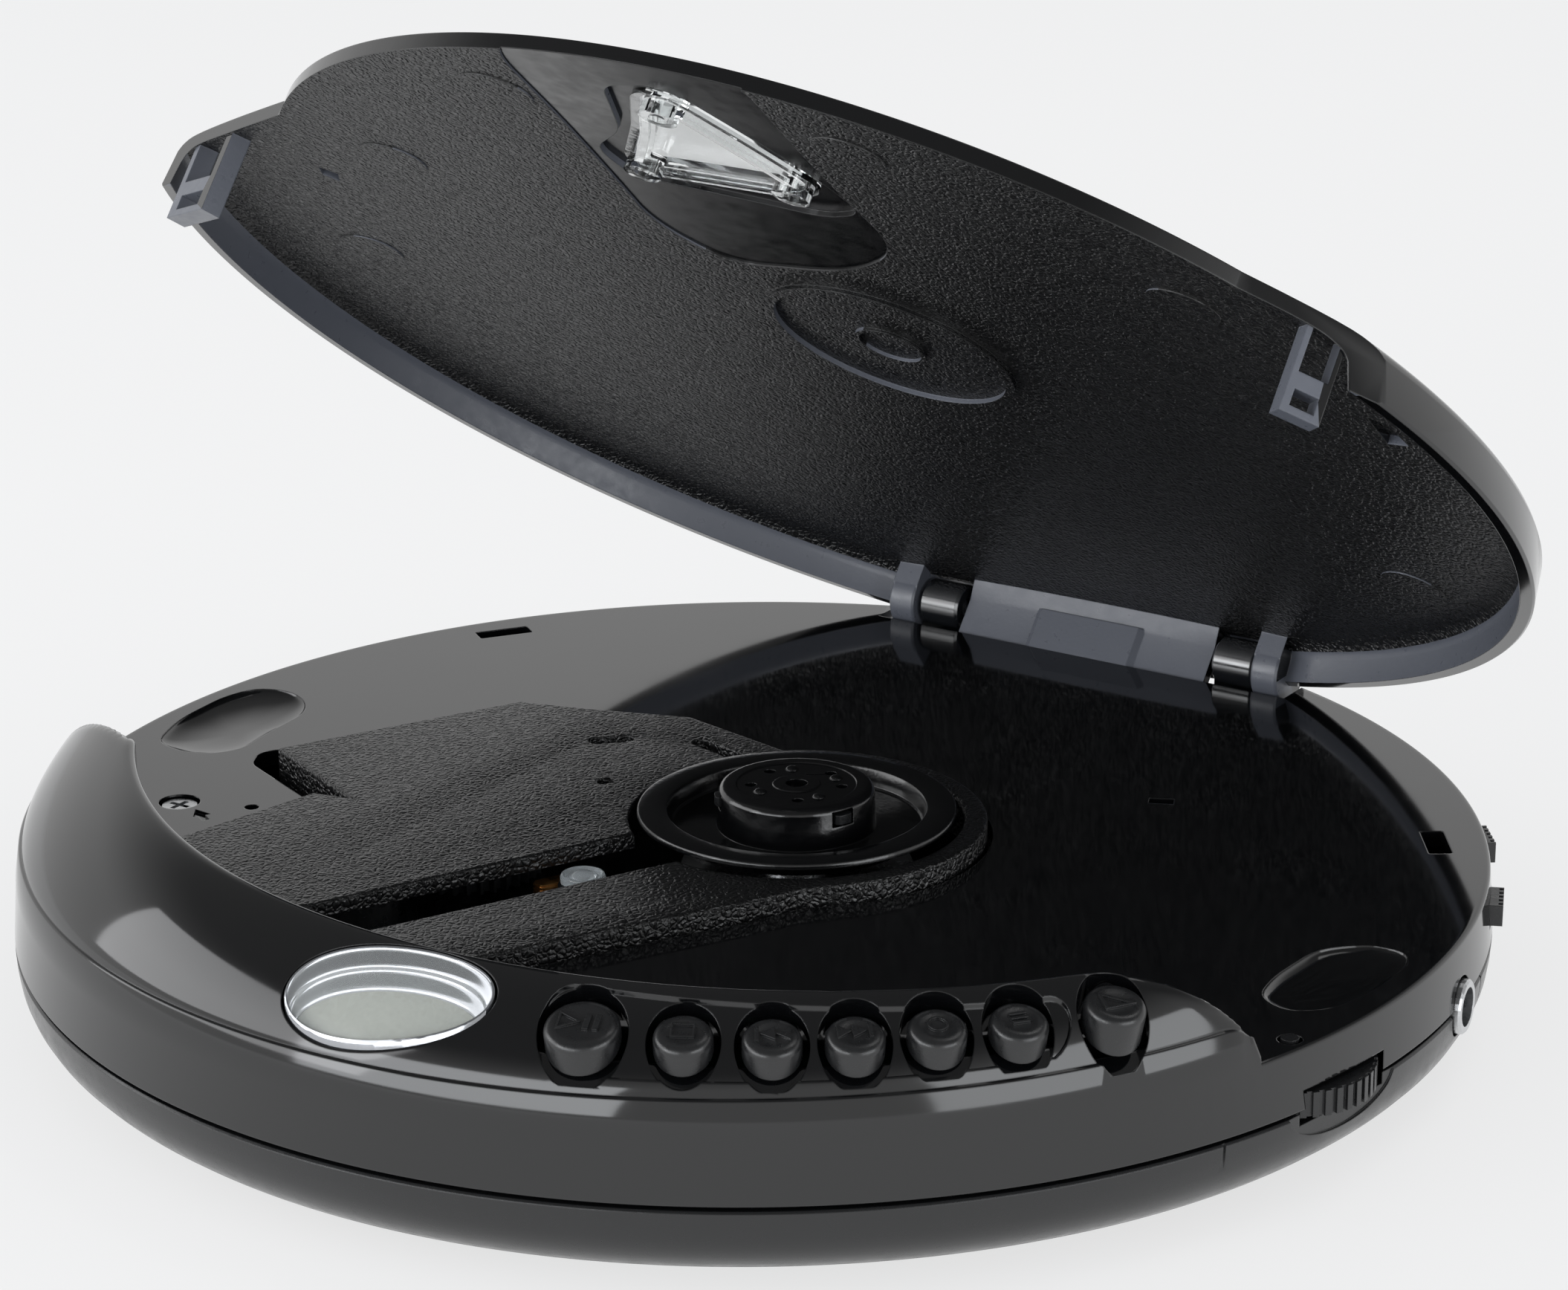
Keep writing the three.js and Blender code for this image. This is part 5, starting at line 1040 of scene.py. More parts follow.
class MakeLid(bpy.types.Operator):
    """Lid shell with hooks, hinge ears, rest pads and the clamp ring"""

    bl_idname = "player.lid"
    bl_label = "Lid"

    def execute(self, context):
        shell = cut(lid_outer(), lid_inner())
        pads = [common(ceiling_layer(-0.8, 0.12, 120), rod(3.4, LID_RIM_Z, ABOVE_LID, 64, spot(0, x, y)))
                for x, y in PADS]
        shell = add(shell, *pads)
        ring = cut(rod(12.5, LID_RIM_Z, ABOVE_LID, 96), rod(11.6, 0, 48, 96))
        over_spindle = Matrix.Translation((SPINDLE[0] * MM, SPINDLE[1] * MM, 0))
        ring.data.transform(over_spindle)
        boss = cut(rod(3.6, LID_RIM_Z, ABOVE_LID, 64), rod(3.1, 0, 48, 64))
        boss.data.transform(over_spindle)
        shell = add(shell, common(ceiling_layer(-0.8, 0.5), ring), common(ceiling_layer(-0.8, 0.35), boss))
        section = [(-CHORD_Z, 63.7), (-CHORD_Z, 62.5), (-17.0, 62.5), (-19.3, 61.9), (-23.1, 58.6), (-23.1, 63.7)]
        chord = slab(section, -14.9, 14.9, ALONG_X)
        middle = [(-6.9, 62.8), (-5.9, 62.0), (5.9, 62.0), (6.9, 62.8), (6.9, 63.7), (-6.9, 63.7)]
        chord = add(chord, slab(middle, CHORD_Z, 17.4))
        envelope = add(lid_outer(CHORD_Z, 0.8), rod(LID_RADIUS - 1.3, CHORD_Z, 19.1, 180))
        shell = add(shell, common(chord, envelope))
        for side in (-1, 1):
            inner = BARREL_X + BARREL_LENGTH + GAP
            x0, x1 = on_side(side, inner, inner + EAR_WIDTH)
            disc = bevelled_rod(EAR_RADIUS, x0, x1, 0.2, HINGE)
            fin = [(-HINGE_Z, HINGE_Y - EAR_RADIUS), (-19.3, HINGE_Y - EAR_RADIUS), (-21.0, HINGE_Y - 5.6),
                   (-23.1, HINGE_Y - 7.0), (-23.1, HINGE_Y + 1.7), (-HINGE_Z, HINGE_Y + 1.7)]
            neck = common(slab(rounded(fin, 0.5, 4), x0, x1, ALONG_X), lid_outer(0, 0.8, 180))
            shell = add(shell, disc, neck)
        shell = cut(shell, brow_room())
        for end, side in ((RIGHT_END, 1), (LEFT_END, -1)):
            hook = common(slab(hook_plan(end, side, 0), 11.2, 24), lid_outer(0, 0.8, 180))
            hook = cut(hook, slab(hook_plan(end, side, 0, 1, (0.5, 0.74)), 11.9, 13.4),
                       slab(hook_plan(end, side, 0, 1, (0.48, 0.77)), 14.9, 21.2))
            shell = add(shell, hook)
        wedge = slab(rounded(in_disc(WEDGE), 9, 14), LID_RIM_Z, ABOVE_LID)
        spoon = slab(rounded(in_disc(SPOON), 2.4, 6), LID_RIM_Z, ABOVE_LID)
        tools = [slab(window_outline(0), LID_RIM_Z, ABOVE_LID), common(ceiling_layer(-0.18, 1.5), wedge),
                 common(ceiling_layer(-SPOON_DEPTH, 1.5), spoon)]
        tools += [common(ceiling_layer(-0.9, 1.5), slab(outline, LID_RIM_Z, ABOVE_LID)) for outline in CEILING_MARKS]
        for side in (-1, 1):
            inner, outer = BARREL_X - GAP, BARREL_X + BARREL_LENGTH + GAP
            x0, x1 = on_side(side, inner, outer)
            tools.append(rod(2.9, x0, x1, 64, HINGE))
            tools.append(block(x0, x1, HINGE_Y - 2.9, BODY_RADIUS, 0, HINGE_Z))
            tools.append(rod(PIN_RADIUS + GAP, *on_side(side, inner, outer + EAR_WIDTH - 0.4), 32, HINGE))
        shell = cut(shell, *tools)
        mark_lid(shell)
        # The third layer is painted light on the inner walls, hooks and ears.
        layers = [finish(name) for name in ("gloss", "lid_grain", "lid_wall", "wedge")]
        finished(raised(shell), "lid_body", "lid", layers, ["lid_shell"])
        marks = shell.data.attributes["finish"].data
        for face in shell.data.polygons:
            face.material_index = int(marks[face.index].value)
        return {"FINISHED"}


def inside(point, outline):
    """Whether a plan point lies within an outline."""
    x, y = point
    hits = 0
    for (x0, y0), (x1, y1) in zip(outline, outline[1:] + outline[:1]):
        if (y0 > y) != (y1 > y) and x < x0 + (y - y0) * (x1 - x0) / (y1 - y0):
            hits += 1
    return hits % 2 == 1


def mark_lid(shell):
    """Marks each face by its finish: 0 outside, 1 grained ceiling, 2 inner walls and hooks (painted light, a lighter
    bluish copy of the black), 3 smooth wedge.
    """
    mesh = shell.data
    mark = mesh.attributes.new("finish", "INT", "FACE")
    wedge = rounded(in_disc(WEDGE), 9, 14)
    for face in mesh.polygons:
        centre = face.center / MM
        reach = math.hypot(centre.x, centre.y)
        outward = (face.normal.x * centre.x + face.normal.y * centre.y) / reach if reach > 1 else 0.0
        if face.normal.z < -0.6 and centre.z > 17.5 and reach < 66.5:
            mark.data[face.index].value = 3 if inside((centre.x, centre.y), wedge) else 1
        elif centre.z < LID_RIM_Z - 0.05 or (face.normal.z < 0.3 and outward < 0.2 and reach < 67.6):
            mark.data[face.index].value = 2


class MakeWindow(bpy.types.Operator):
    """Clear pane set in the lid on three welded bosses"""

    bl_idname = "player.lid_window"
    bl_label = "Lid window"

    def execute(self, context):
        pane = common(cut(lid_outer(), lid_inner()), slab(window_outline(-0.3), LID_RIM_Z, ABOVE_LID))
        pane = cut(pane, common(ceiling_layer(-0.95, 1), slab(window_outline(-1.5), LID_RIM_Z, ABOVE_LID)))
        frame_wall = cut(slab(window_outline(-0.3), LID_RIM_Z, ABOVE_LID), slab(window_outline(-1.1), 0, HIGH))
        flange = cut(slab(window_outline(0.8), LID_RIM_Z, ABOVE_LID), slab(window_outline(-1.5), 0, HIGH))
        pane = add(pane, common(ceiling_layer(-SPOON_DEPTH, 0.6), frame_wall),
                   common(ceiling_layer(-SPOON_DEPTH + 0.05, -0.15), flange))
        for x, y in WINDOW_BOSSES:
            weld = common(ceiling_layer(-SPOON_DEPTH + 0.05, 1.1), rod(1.75, LID_RIM_Z, 23.1, 48, spot(0, x, y)))
            pane = add(pane, weld)
            pane = cut(pane, common(ceiling_layer(-0.4, 2), rod(0.85, LID_RIM_Z, ABOVE_LID, 32, spot(0, x, y))))
        finished(raised(pane), "lid_pane", "lid", finish("clear"), ["lid_window"])
        return {"FINISHED"}


ROUND_EDGE = ((0, 1.2), (0.06, 0.75), (0.24, 0.36), (0.56, 0.1), (1, 0))


class MakeCover(bpy.types.Operator):
    """Grained cover over the mechanism with its slot and small openings"""

    bl_idname = "player.cover"
    bl_label = "Mechanism cover"

    def execute(self, context):
        skirt_z = COVER_UNDER_Z - 3.4
        skirt = cut(slab(cover_outline(), skirt_z, COVER_UNDER_Z + 0.7),
                    slab(cover_outline(-1.2), skirt_z - 1, COVER_UNDER_Z))
        edge = 0.36
        plate = lofted([[(x, y, z) for x, y in cover_outline(-inset)] for inset, z in (
            (0, COVER_UNDER_Z), *[(edge * inset, COVER_Z - edge * sunk) for inset, sunk in ROUND_EDGE])], "plate")
        cover = add(plate, skirt)
        for x, y, turn in COVER_CLIPS:
            cover = add(cover, block(-0.6, 2.2, -3, 3, 11.9, 12.9, spot(turn, x, y)))
        cover = add(cover, block(-53.8, -38.6, -27.3, -20.9, 10.5, 12.9))
        well = 15.8
        lip = [(well + edge * inset, COVER_Z - edge * sunk + 0.001) for inset, sunk in ROUND_EDGE]
        tools = [turned([(0, 0), (well, 0), *lip, (well + edge, HIGH), (0, HIGH)], 240, spot(0, *SPINDLE)),
                 flared(oblong(0, SLOT_END, 4), edge, TRAVEL),
                 block(48, 60.5, -4.3, 4.3, 11, COVER_UNDER_Z - 0.05, TRAVEL),
                 rod(1.3, 0, HIGH, 24, spot(0, *DECK_SCREW))]
        for x, y, length, width, turn in COVER_SLOTS:
            half = (length - width) / 2
            outline = arc(width / 2, -90, 90, 16, (half, 0)) + arc(width / 2, 90, 270, 16, (-half, 0))
            tools.append(flared(outline, 0.15, spot(turn, x, y)))
        tools.append(slab([(-1.1, 0), (0, -1.1), (1.1, 0), (0, 1.1)], 16, HIGH, spot(10, -16.7, -1.0)))
        cover = cut(cover, *tools)
        finished(cover, "mechanism_plate", "base", finish("grain"), ["mechanism_cover"])
        return {"FINISHED"}


def flared(outline, edge, place):
    """A cutter through the cover whose mouth widens to break the edge."""
    lip = [(edge * inset, COVER_Z - edge * sunk + 0.001) for inset, sunk in ROUND_EDGE]
    loops = [[(x, y, z) for x, y in grown(outline, grow)] for grow, z in ((0, 14), *lip, (edge, HIGH))]
    return moved(lofted(loops, "cutter"), place)


def sign_outlines(sign, size):
    """Plan outlines of a key's sign; u points right and v points up."""
    s = size

    def bar(u, half_width, half_height):
        return oblong(u - half_width, u + half_width, half_height)

    def wedge(u, width, half):
        return [(u, -half), (u + width, 0), (u, half)]

    if sign == "play_pause":
        return [("line", wedge(-1.25 * s, 1.1 * s, 0.62 * s)), ("solid", bar(0.3 * s, 0.16 * s, 0.62 * s)),
                ("solid", bar(0.85 * s, 0.16 * s, 0.62 * s))]
    if sign == "stop":
        return [("line", oblong(-0.72 * s, 0.72 * s, 0.6 * s))]
    if sign == "next":
        return [("solid", wedge(-1.2 * s, 0.95 * s, 0.6 * s)), ("solid", wedge(-0.2 * s, 0.95 * s, 0.6 * s)),
                ("solid", bar(0.98 * s, 0.13 * s, 0.62 * s))]
    if sign == "back":
        return [(kind, [(-u, v) for u, v in reversed(outline)]) for kind, outline in sign_outlines("next", size)]
    if sign == "ring":
        return [("line", arc(0.62 * s, 0, 342, 19))]
    if sign == "dashes":
        dash = oblong(-0.6 * s, 0.6 * s, 0.1 * s)
        return [("solid", [(x, v + y) for x, y in dash]) for v in (-0.42 * s, 0, 0.42 * s)]
    return [("line", [(-0.95 * s, -0.55 * s), (0.95 * s, -0.55 * s), (-0.75 * s, 0.85 * s)])]


def grown(outline, distance):
    """Outline grown outwards whichever way it turns."""
    area = sum(x0 * y1 - x1 * y0 for (x0, y0), (x1, y1) in zip(outline, outline[1:] + outline[:1]))
    return offset(outline, distance if area < 0 else -distance)


class MakeKeys(bpy.types.Operator):
    """Seven round keys with raised signs"""

    bl_idname = "player.keys"
    bl_label = "Keys"

    def execute(self, context):
        sizes = context.scene.player_sizes
        for name, body, angle, share, radius, sign in KEYS:
            proud, depth, relief = (1.5, 2.6, 1.4) if name == "open_button" else (0.8, 1.7, 0.7)
            stem = 1.9 if name == "open_button" else 2.6
            soft = 0.75
            profile = [(0, -6), (radius, -6), (radius, proud - soft)]
            for k in range(1, 9):
                turn = math.radians(90 * k / 8)
                profile.append((radius - soft * (1 - math.cos(turn)), proud - soft * (1 - math.sin(turn))))
            profile += [(radius - soft - 0.25, proud + 0.01), (radius * 0.5, proud - 0.06), (0, proud - 0.1)]
            cap = turned(profile, 96)
            cap = common(cap, block(-12, 12, -12, 12, 0, 20, above_floor(depth - relief)))
            cap = add(cap, rod(0.8, -stem, 0, 24))
            size = 1.5 if name == "play_button" else 1.25
            width = 0.26 if name == "open_button" else 0.17
            lifted = proud - 0.2
            top = proud + sizes.emboss - 0.06
            for kind, outline in sign_outlines(sign, size):
                plan = [(-v - 0.1, u) for u, v in outline]
                mark = slab(grown(plan, width / 2 if kind == "line" else 0.0), lifted, top)
                if kind == "line":
                    mark = cut(mark, slab(grown(plan, -width / 2), lifted - 1, top + 1))
                cap = add(cap, mark)
            moved(cap, key_place(angle, share))
            finished(cap, name.replace("_button", "_cap"), body, finish("keys"), [name])
        return {"FINISHED"}


class MakeDisplay(bpy.types.Operator):
    """Oval window of the display, its bright rim and its face"""

    bl_idname = "player.display"
    bl_label = "Display"

    def execute(self, context):
        pane = common(display_oval(0.55), cut(brow_sink(0.1, *DISPLAY_SPAN), brow_sink(0.7, *DISPLAY_SPAN)))
        finished(pane, "display_pane", "base", finish("glass"), ["display_window"])
        wall = [(0.25, DISPLAY_DEPTH + 0.1), (0.25, -0.04), (0.32, -0.1)]
        for k in range(29):
            t = k / 28
            wave = t - 0.95 * math.sin(4 * math.pi * t) / (4 * math.pi)
            wall.append((0.42 + 1.0 * wave, -0.08 + (DISPLAY_DEPTH + 0.1) * t))
        ring = hoop([display_loop(shrink, depth) for shrink, depth in wall], "rim")
        ring = common(ring, brow_sink(-0.03, *DISPLAY_SPAN))
        finished(ring, "display_rim", "base", finish("rim"), [], 60)
        face = common(display_oval(0.3), cut(brow_sink(DISPLAY_DEPTH + 0.03, *DISPLAY_SPAN),
                                                      brow_sink(DISPLAY_DEPTH + 0.6, *DISPLAY_SPAN)))
        finished(face, "display_face", "base", finish("screen"), ["display_panel"])
        return {"FINISHED"}


class MakeTurntable(bpy.types.Operator):
    """Turntable with its hub and the three clamping claws"""

    bl_idname = "player.turntable"
    bl_label = "Turntable"

    def execute(self, context):
        place = spot(0, *SPINDLE)
        under = DISC_Z - 0.7
        hub = HUB_RADIUS
        top = DISC_Z + 2.25
        dish = DISC_Z - 1.9
        profile = [(1.05, 12.4), (4, 12.4), (4, dish - 0.8), (11.4, dish - 0.7), (13.2, under - 0.2), (14.9, under),
                   (15.1, under + 0.12), (15.1, DISC_Z - 0.4), (15.07, DISC_Z - 0.22), (14.98, DISC_Z - 0.08),
                   (14.8, DISC_Z), (12.5, DISC_Z), (12.3, DISC_Z - 0.08), (12.15, DISC_Z - 0.3), (12.0, dish + 0.2),
                   (11.8, dish), (hub + 0.3, dish), (hub + 0.08, dish + 0.1), (hub, dish + 0.4), (hub, DISC_Z + 0.1),
                   (hub - 0.08, DISC_Z + 0.3), (hub - 0.08, top - 0.75), (hub - 0.15, top - 0.5),
                   (hub - 0.35, top - 0.2), (hub - 0.65, top - 0.04), (hub - 0.9, top), (5.7, top), (5.6, top - 0.12),
                   (2.3, top - 0.12), (2.2, top), (1.05, top), (1.05, 12.4)]
        plate = turned(profile, 240, place)
        tools = []
        for angle in CLAW_ANGLES:
            tools.append(block(4, hub + 1, -1.2, 1.2, DISC_Z + 0.2, DISC_Z + 1.7, place @ spot(angle)))
        for angle in HUB_HOLE_ANGLES:
            tools.append(rod(0.55, top - 0.7, top + 1, 24, place @ spot(0, *polar(4.3, angle))))
        tools.append(block(-0.9, 0.9, -0.18, 0.18, top - 0.4, top + 1, place @ spot(35, 0, 3.2)))
        plate = cut(plate, *tools)
        for angle in HUB_BUMP_ANGLES:
            bump = [(0.62 * math.cos(t), top - 0.12 + abs(0.05 - 0.4 * math.sin(t)))
                    for t in (math.radians(a) for a in range(0, 91, 15))]
            plate = add(plate, turned([(0, top - 0.3), (0.62, top - 0.3), *bump], 32,
                                      place @ spot(0, *polar(4.0, angle))))
        finished(plate, "disc_table", "disc_drive", finish("platter"), ["turntable"])
        for k, angle in enumerate(CLAW_ANGLES):
            tip = hub + 0.3
            plan = [(5, -0.9), (tip - 0.35, -0.9), (tip - 0.1, -0.7), (tip, -0.4), (tip, 0.4), (tip - 0.1, 0.7),
                    (tip - 0.35, 0.9), (5, 0.9)]
            claw = slab(plan, DISC_Z + 0.5, DISC_Z + 1.4, place @ spot(angle))
            finished(claw, f"claw_{k + 1}_tip", f"claw_{k + 1}", finish("keys"), [f"clamp_claw_{k + 1}"])
        return {"FINISHED"}


class MakePickup(bpy.types.Operator):
    """Lens, its holder and the copper coils that move it"""

    bl_idname = "player.pickup"
    bl_label = "Pickup"

    def execute(self, context):
        place = TRAVEL @ spot(0, LENS_START, 0)
        steps = [math.pi / 2 * k / 16 for k in range(16, 0, -1)]
        profile = [(0, 14.8), (2.1, 14.8), (2.1, 15.3), (2.0, 15.5), (1.85, 15.55), (1.7, 15.45), (1.62, 15.15),
                   (1.5, 15.1), (1.4, 15.3), (1.3, 15.3), (1.22, 15.15)]
        profile += [(1.2 * math.sin(t), 15.15 + 0.65 * math.cos(t)) for t in steps[1:]] + [(0, 15.8)]
        finished(turned(profile, 64, place), "lens_glass", "sled", finish("lens"), ["objective_lens"])
        holder = block(19.7, 25.1, -3.3, 3.3, 11.7, 13.5, TRAVEL)
        collar = turned([(0, 13.0), (3.0, 13.0), (2.3, 14.5), (0, 14.5)], 64, place)
        holder = cut(add(holder, collar), rod(1.6, 12.6, 16, 40, place), block(20.1, 20.9, -2.6, 2.6, 12.7, 15, TRAVEL))
        finished(holder, "lens_holder", "sled", finish("platter"), ["lens_actuator"])
        for name, side in (("left", -1), ("right", 1)):
            beside = TRAVEL @ spot(0, 0, side * 3.0)
            coil = slab(rounded(oblong(20.6, 26.2, 0.8), 0.5), 12.6, 14.2, beside)
            for k in range(4):
                band = slab(rounded(oblong(20.5, 26.3, 0.95), 0.5), 12.75 + k * 0.36, 12.93 + k * 0.36, beside)
                coil = add(coil, band)
            finished(coil, f"focus_coil_{name}", "sled", finish("brass"), [])
        return {"FINISHED"}


def node_tree(name, sockets):
    tree = bpy.data.node_groups.new(name, "GeometryNodeTree")
    tree.interface.new_socket("Geometry", in_out="INPUT", socket_type="NodeSocketGeometry")
    for label, kind, value in sockets:
        socket = tree.interface.new_socket(label, in_out="INPUT", socket_type=kind)
        socket.default_value = value
    tree.interface.new_socket("Geometry", in_out="OUTPUT", socket_type="NodeSocketGeometry")
    return tree, tree.nodes.new("NodeGroupInput"), tree.nodes.new("NodeGroupOutput")


def grown_from(tree, name, values, seeds=((0, 0, 0),)):
    """A plain mesh made by a node tree on a few points, all in metres."""
    mesh = bpy.data.meshes.new(name)
    mesh.from_pydata([Vector(p) for p in seeds], [], [])
    obj = bpy.data.objects.new(name, mesh)
    bpy.context.scene.collection.objects.link(obj)
    modifier = obj.modifiers.new("nodes", "NODES")
    modifier.node_group = tree
    for item in tree.interface.items_tree:
        if item.in_out == "INPUT" and item.name in values:
            modifier[item.identifier] = values[item.name]
    graph = bpy.context.evaluated_depsgraph_get()
    plain = bpy.data.meshes.new_from_object(obj.evaluated_get(graph), depsgraph=graph)
    obj.modifiers.clear()
    obj.data = plain
    bpy.data.meshes.remove(mesh)
    return obj


def ribbed_wheel_tree():
    tree, given, result = node_tree("ribbed_wheel", (
        ("Radius", "NodeSocketFloat", 0.008), ("Height", "NodeSocketFloat", 0.0023), ("Ribs", "NodeSocketInt", 44),
        ("Rib depth", "NodeSocketFloat", 0.0003), ("Finish", "NodeSocketMaterial", None)))
    core, inset, circle, rib, place, turn = several(
        tree, "GeometryNodeMeshCylinder", "ShaderNodeMath", "GeometryNodeMeshCircle", "GeometryNodeMeshCube",
        "GeometryNodeInstanceOnPoints", "FunctionNodeAlignRotationToVector")
    size, double, at, both, real, dress = several(
        tree, "ShaderNodeCombineXYZ", "ShaderNodeMath", "GeometryNodeInputPosition", "GeometryNodeJoinGeometry",
        "GeometryNodeRealizeInstances", "GeometryNodeSetMaterial")
    core.inputs["Vertices"].default_value = 132
    inset.operation, double.operation = "SUBTRACT", "MULTIPLY"
    double.inputs[1].default_value = 2.0
    turn.axis = "X"
    wire(tree, (given, "Radius", inset, 0), (given, "Rib depth", inset, 1), (inset, 0, core, "Radius"),
         (given, "Height", core, "Depth"), (given, "Ribs", circle, "Vertices"), (inset, 0, circle, "Radius"),
         (given, "Rib depth", double, 0), (double, 0, size, "X"), (double, 0, size, "Y"), (given, "Height", size, "Z"),
         (size, "Vector", rib, "Size"), (at, "Position", turn, "Vector"), (circle, "Mesh", place, "Points"),
         (rib, "Mesh", place, "Instance"), (turn, "Rotation", place, "Rotation"), (core, "Mesh", both, "Geometry"),
         (place, "Instances", both, "Geometry"), (both, "Geometry", real, "Geometry"),
         (real, "Geometry", dress, "Geometry"), (given, "Finish", dress, "Material"),
         (dress, "Geometry", result, "Geometry"))
    return tree


def screw_tree():
    tree, given, result = node_tree("cross_screw", (
        ("Head radius", "NodeSocketFloat", 0.0019), ("Head height", "NodeSocketFloat", 0.0009),
        ("Shank radius", "NodeSocketFloat", 0.001), ("Length", "NodeSocketFloat", 0.008),
        ("Recess", "NodeSocketFloat", 0.0026), ("Finish", "NodeSocketMaterial", None)))
    head, shank, up, half, lift, carve = several(
        tree, "GeometryNodeMeshCylinder", "GeometryNodeMeshCylinder", "GeometryNodeTransform", "ShaderNodeMath",
        "ShaderNodeCombineXYZ", "GeometryNodeMeshBoolean")
    both, place, real, dress = several(tree, "GeometryNodeJoinGeometry", "GeometryNodeInstanceOnPoints",
                                       "GeometryNodeRealizeInstances", "GeometryNodeSetMaterial")
    head.inputs["Vertices"].default_value, shank.inputs["Vertices"].default_value = 48, 24
    half.operation = "MULTIPLY"
    half.inputs[1].default_value = 0.5
    wire(tree, (given, "Head radius", head, "Radius"), (given, "Head height", head, "Depth"),
         (given, "Shank radius", shank, "Radius"), (given, "Length", shank, "Depth"), (given, "Length", half, 0),
         (half, 0, lift, "Z"), (lift, "Vector", up, "Translation"), (shank, "Mesh", up, "Geometry"),
         (head, "Mesh", carve, "Mesh 1"))
    for along, across in (("X", "Y"), ("Y", "X")):
        arm, size, low = several(tree, "GeometryNodeMeshCube", "ShaderNodeCombineXYZ", "GeometryNodeTransform")
        size.inputs[across].default_value = 0.0005
        low.inputs["Translation"].default_value = (0, 0, -0.0005)
        wire(tree, (given, "Recess", size, along), (given, "Head height", size, "Z"), (size, "Vector", arm, "Size"),
             (arm, "Mesh", low, "Geometry"), (low, "Geometry", carve, "Mesh 2"))
    wire(tree, (carve, "Mesh", both, "Geometry"), (up, "Geometry", both, "Geometry"),
         (given, "Geometry", place, "Points"), (both, "Geometry", place, "Instance"),
         (place, "Instances", real, "Geometry"), (real, "Geometry", dress, "Geometry"),
         (given, "Finish", dress, "Material"), (dress, "Geometry", result, "Geometry"))
    return tree


class MakeSideFittings(bpy.types.Operator):
    """Ribbed volume wheel and the two slide switches"""

    bl_idname = "player.side_fittings"
    bl_label = "Side fittings"

    def execute(self, context):
        sizes = context.scene.player_sizes
        wheel = grown_from(ribbed_wheel_tree(), "wheel", {
            "Radius": WHEEL_RADIUS * MM, "Height": 2.3 * MM, "Ribs": sizes.ribs, "Rib depth": 0.3 * MM,
            "Finish": finish("keys")})
        wheel.data.transform(Matrix.Scale(MM, 4) @ WHEEL_PLACE @ Matrix.Translation((0, 0, 9.275))
                             @ Matrix.Scale(1 / MM, 4))
        bore = rod(1.2, 0, 20, 32, WHEEL_PLACE)
        wheel = worked_exact(wheel, bore)
        finished(wheel, "ribbed_wheel", "volume", finish("keys"), ["volume_wheel"])
        for angle, name, body in zip(SWITCH_ANGLES, ("bass_switch", "hold_switch"), ("bass_knob", "hold_knob")):
            place = side_place(angle)
            knob = add(block(65.1, BODY_RADIUS + 0.9, -3.5, 1.1, 10.9, 12.9, place),
                       block(65.1, 66.7, -4.4, 2.0, 10.9, 12.9, place))
            grooves = [block(BODY_RADIUS + 0.45, BODY_RADIUS + 2, middle - 0.22, middle + 0.22, 0, 20, place)
                       for middle in (-1.2 + k * 0.9 for k in (-2, -1, 0, 1, 2))]
            finished(cut(knob, *grooves), name + "_knob", body, finish("keys"), [name])
        return {"FINISHED"}


def worked_exact(body, tool):
    """One cut on a mesh of crossing pieces, which the quick solver can't take."""
    step = body.modifiers.new("shape", "BOOLEAN")
    step.operation, step.solver, step.object, step.use_self = "DIFFERENCE", "EXACT", tool, True
    graph = bpy.context.evaluated_depsgraph_get()
    mesh = bpy.data.meshes.new_from_object(body.evaluated_get(graph), depsgraph=graph)
    body.modifiers.clear()
    body.data = mesh
    discard(tool)
    return body


class MakeFasteners(bpy.types.Operator):
    """Case screws with cross recesses and the deck screw"""

    bl_idname = "player.fasteners"
    bl_label = "Fasteners"

    def execute(self, context):
        tree = screw_tree()
        screws = grown_from(tree, "screws", {"Finish": finish("dark_steel")},
                            [(x * MM, y * MM, (1.4 + 0.45) * MM) for x, y in SCREWS])
        finished(screws, "case_screws", "base", finish("dark_steel"),
                 [f"case_screw_{k}" for k in (1, 2, 3, 4)])
        deck = grown_from(tree, "deck", {
            "Head radius": 1.7 * MM, "Head height": 0.85 * MM, "Shank radius": 1.0 * MM, "Length": 4.0 * MM,
            "Recess": 2.2 * MM, "Finish": finish("steel")})
        deck.data.transform(Matrix.Translation((DECK_SCREW[0] * MM, DECK_SCREW[1] * MM, (DECK_Z - 0.3 - 0.425) * MM))
                            @ Matrix.Rotation(math.pi, 4, "X"))
        finished(deck, "deck_fastener", "base", finish("steel"), ["deck_screw"])
        return {"FINISHED"}


CARRIED = {
    "steel": ("motor_shaft", "spindle_motor", "guide_rod_front", "guide_rod_rear", "sled_motor", "gear_axle",
              "battery_link", "battery_contact_1", "battery_contact_2", "hinge_pin_left", "hinge_pin_right",
              "headphone_jack", "latch_pawl"),
    "dark_steel": ("drive_chassis", "pickup_sled", "volume_pot"),
    "brass": ("motor_pinion", "board_ribbon"),
    "nylon": ("sled_rack", "transfer_gear"),
    "board": ("main_board", "key_board"),
    "rubber": ("damper_bush_1", "damper_bush_2", "damper_bush_3", "rubber_foot_1", "rubber_foot_2", "rubber_foot_3",
               "rubber_foot_4"),
    "matt": ("battery_door", "power_jack"),
    "keys": ("interlock_pin",),
}


class DressCarried(bpy.types.Operator):
    """Finishes of the solids that are shown as they are"""

    bl_idname = "player.carried"
    bl_label = "Carried solids"

    def execute(self, context):
        for name, nodes in CARRIED.items():
            for node in nodes:
                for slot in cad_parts[node].material_slots:
                    slot.material = finish(name)
        return {"FINISHED"}


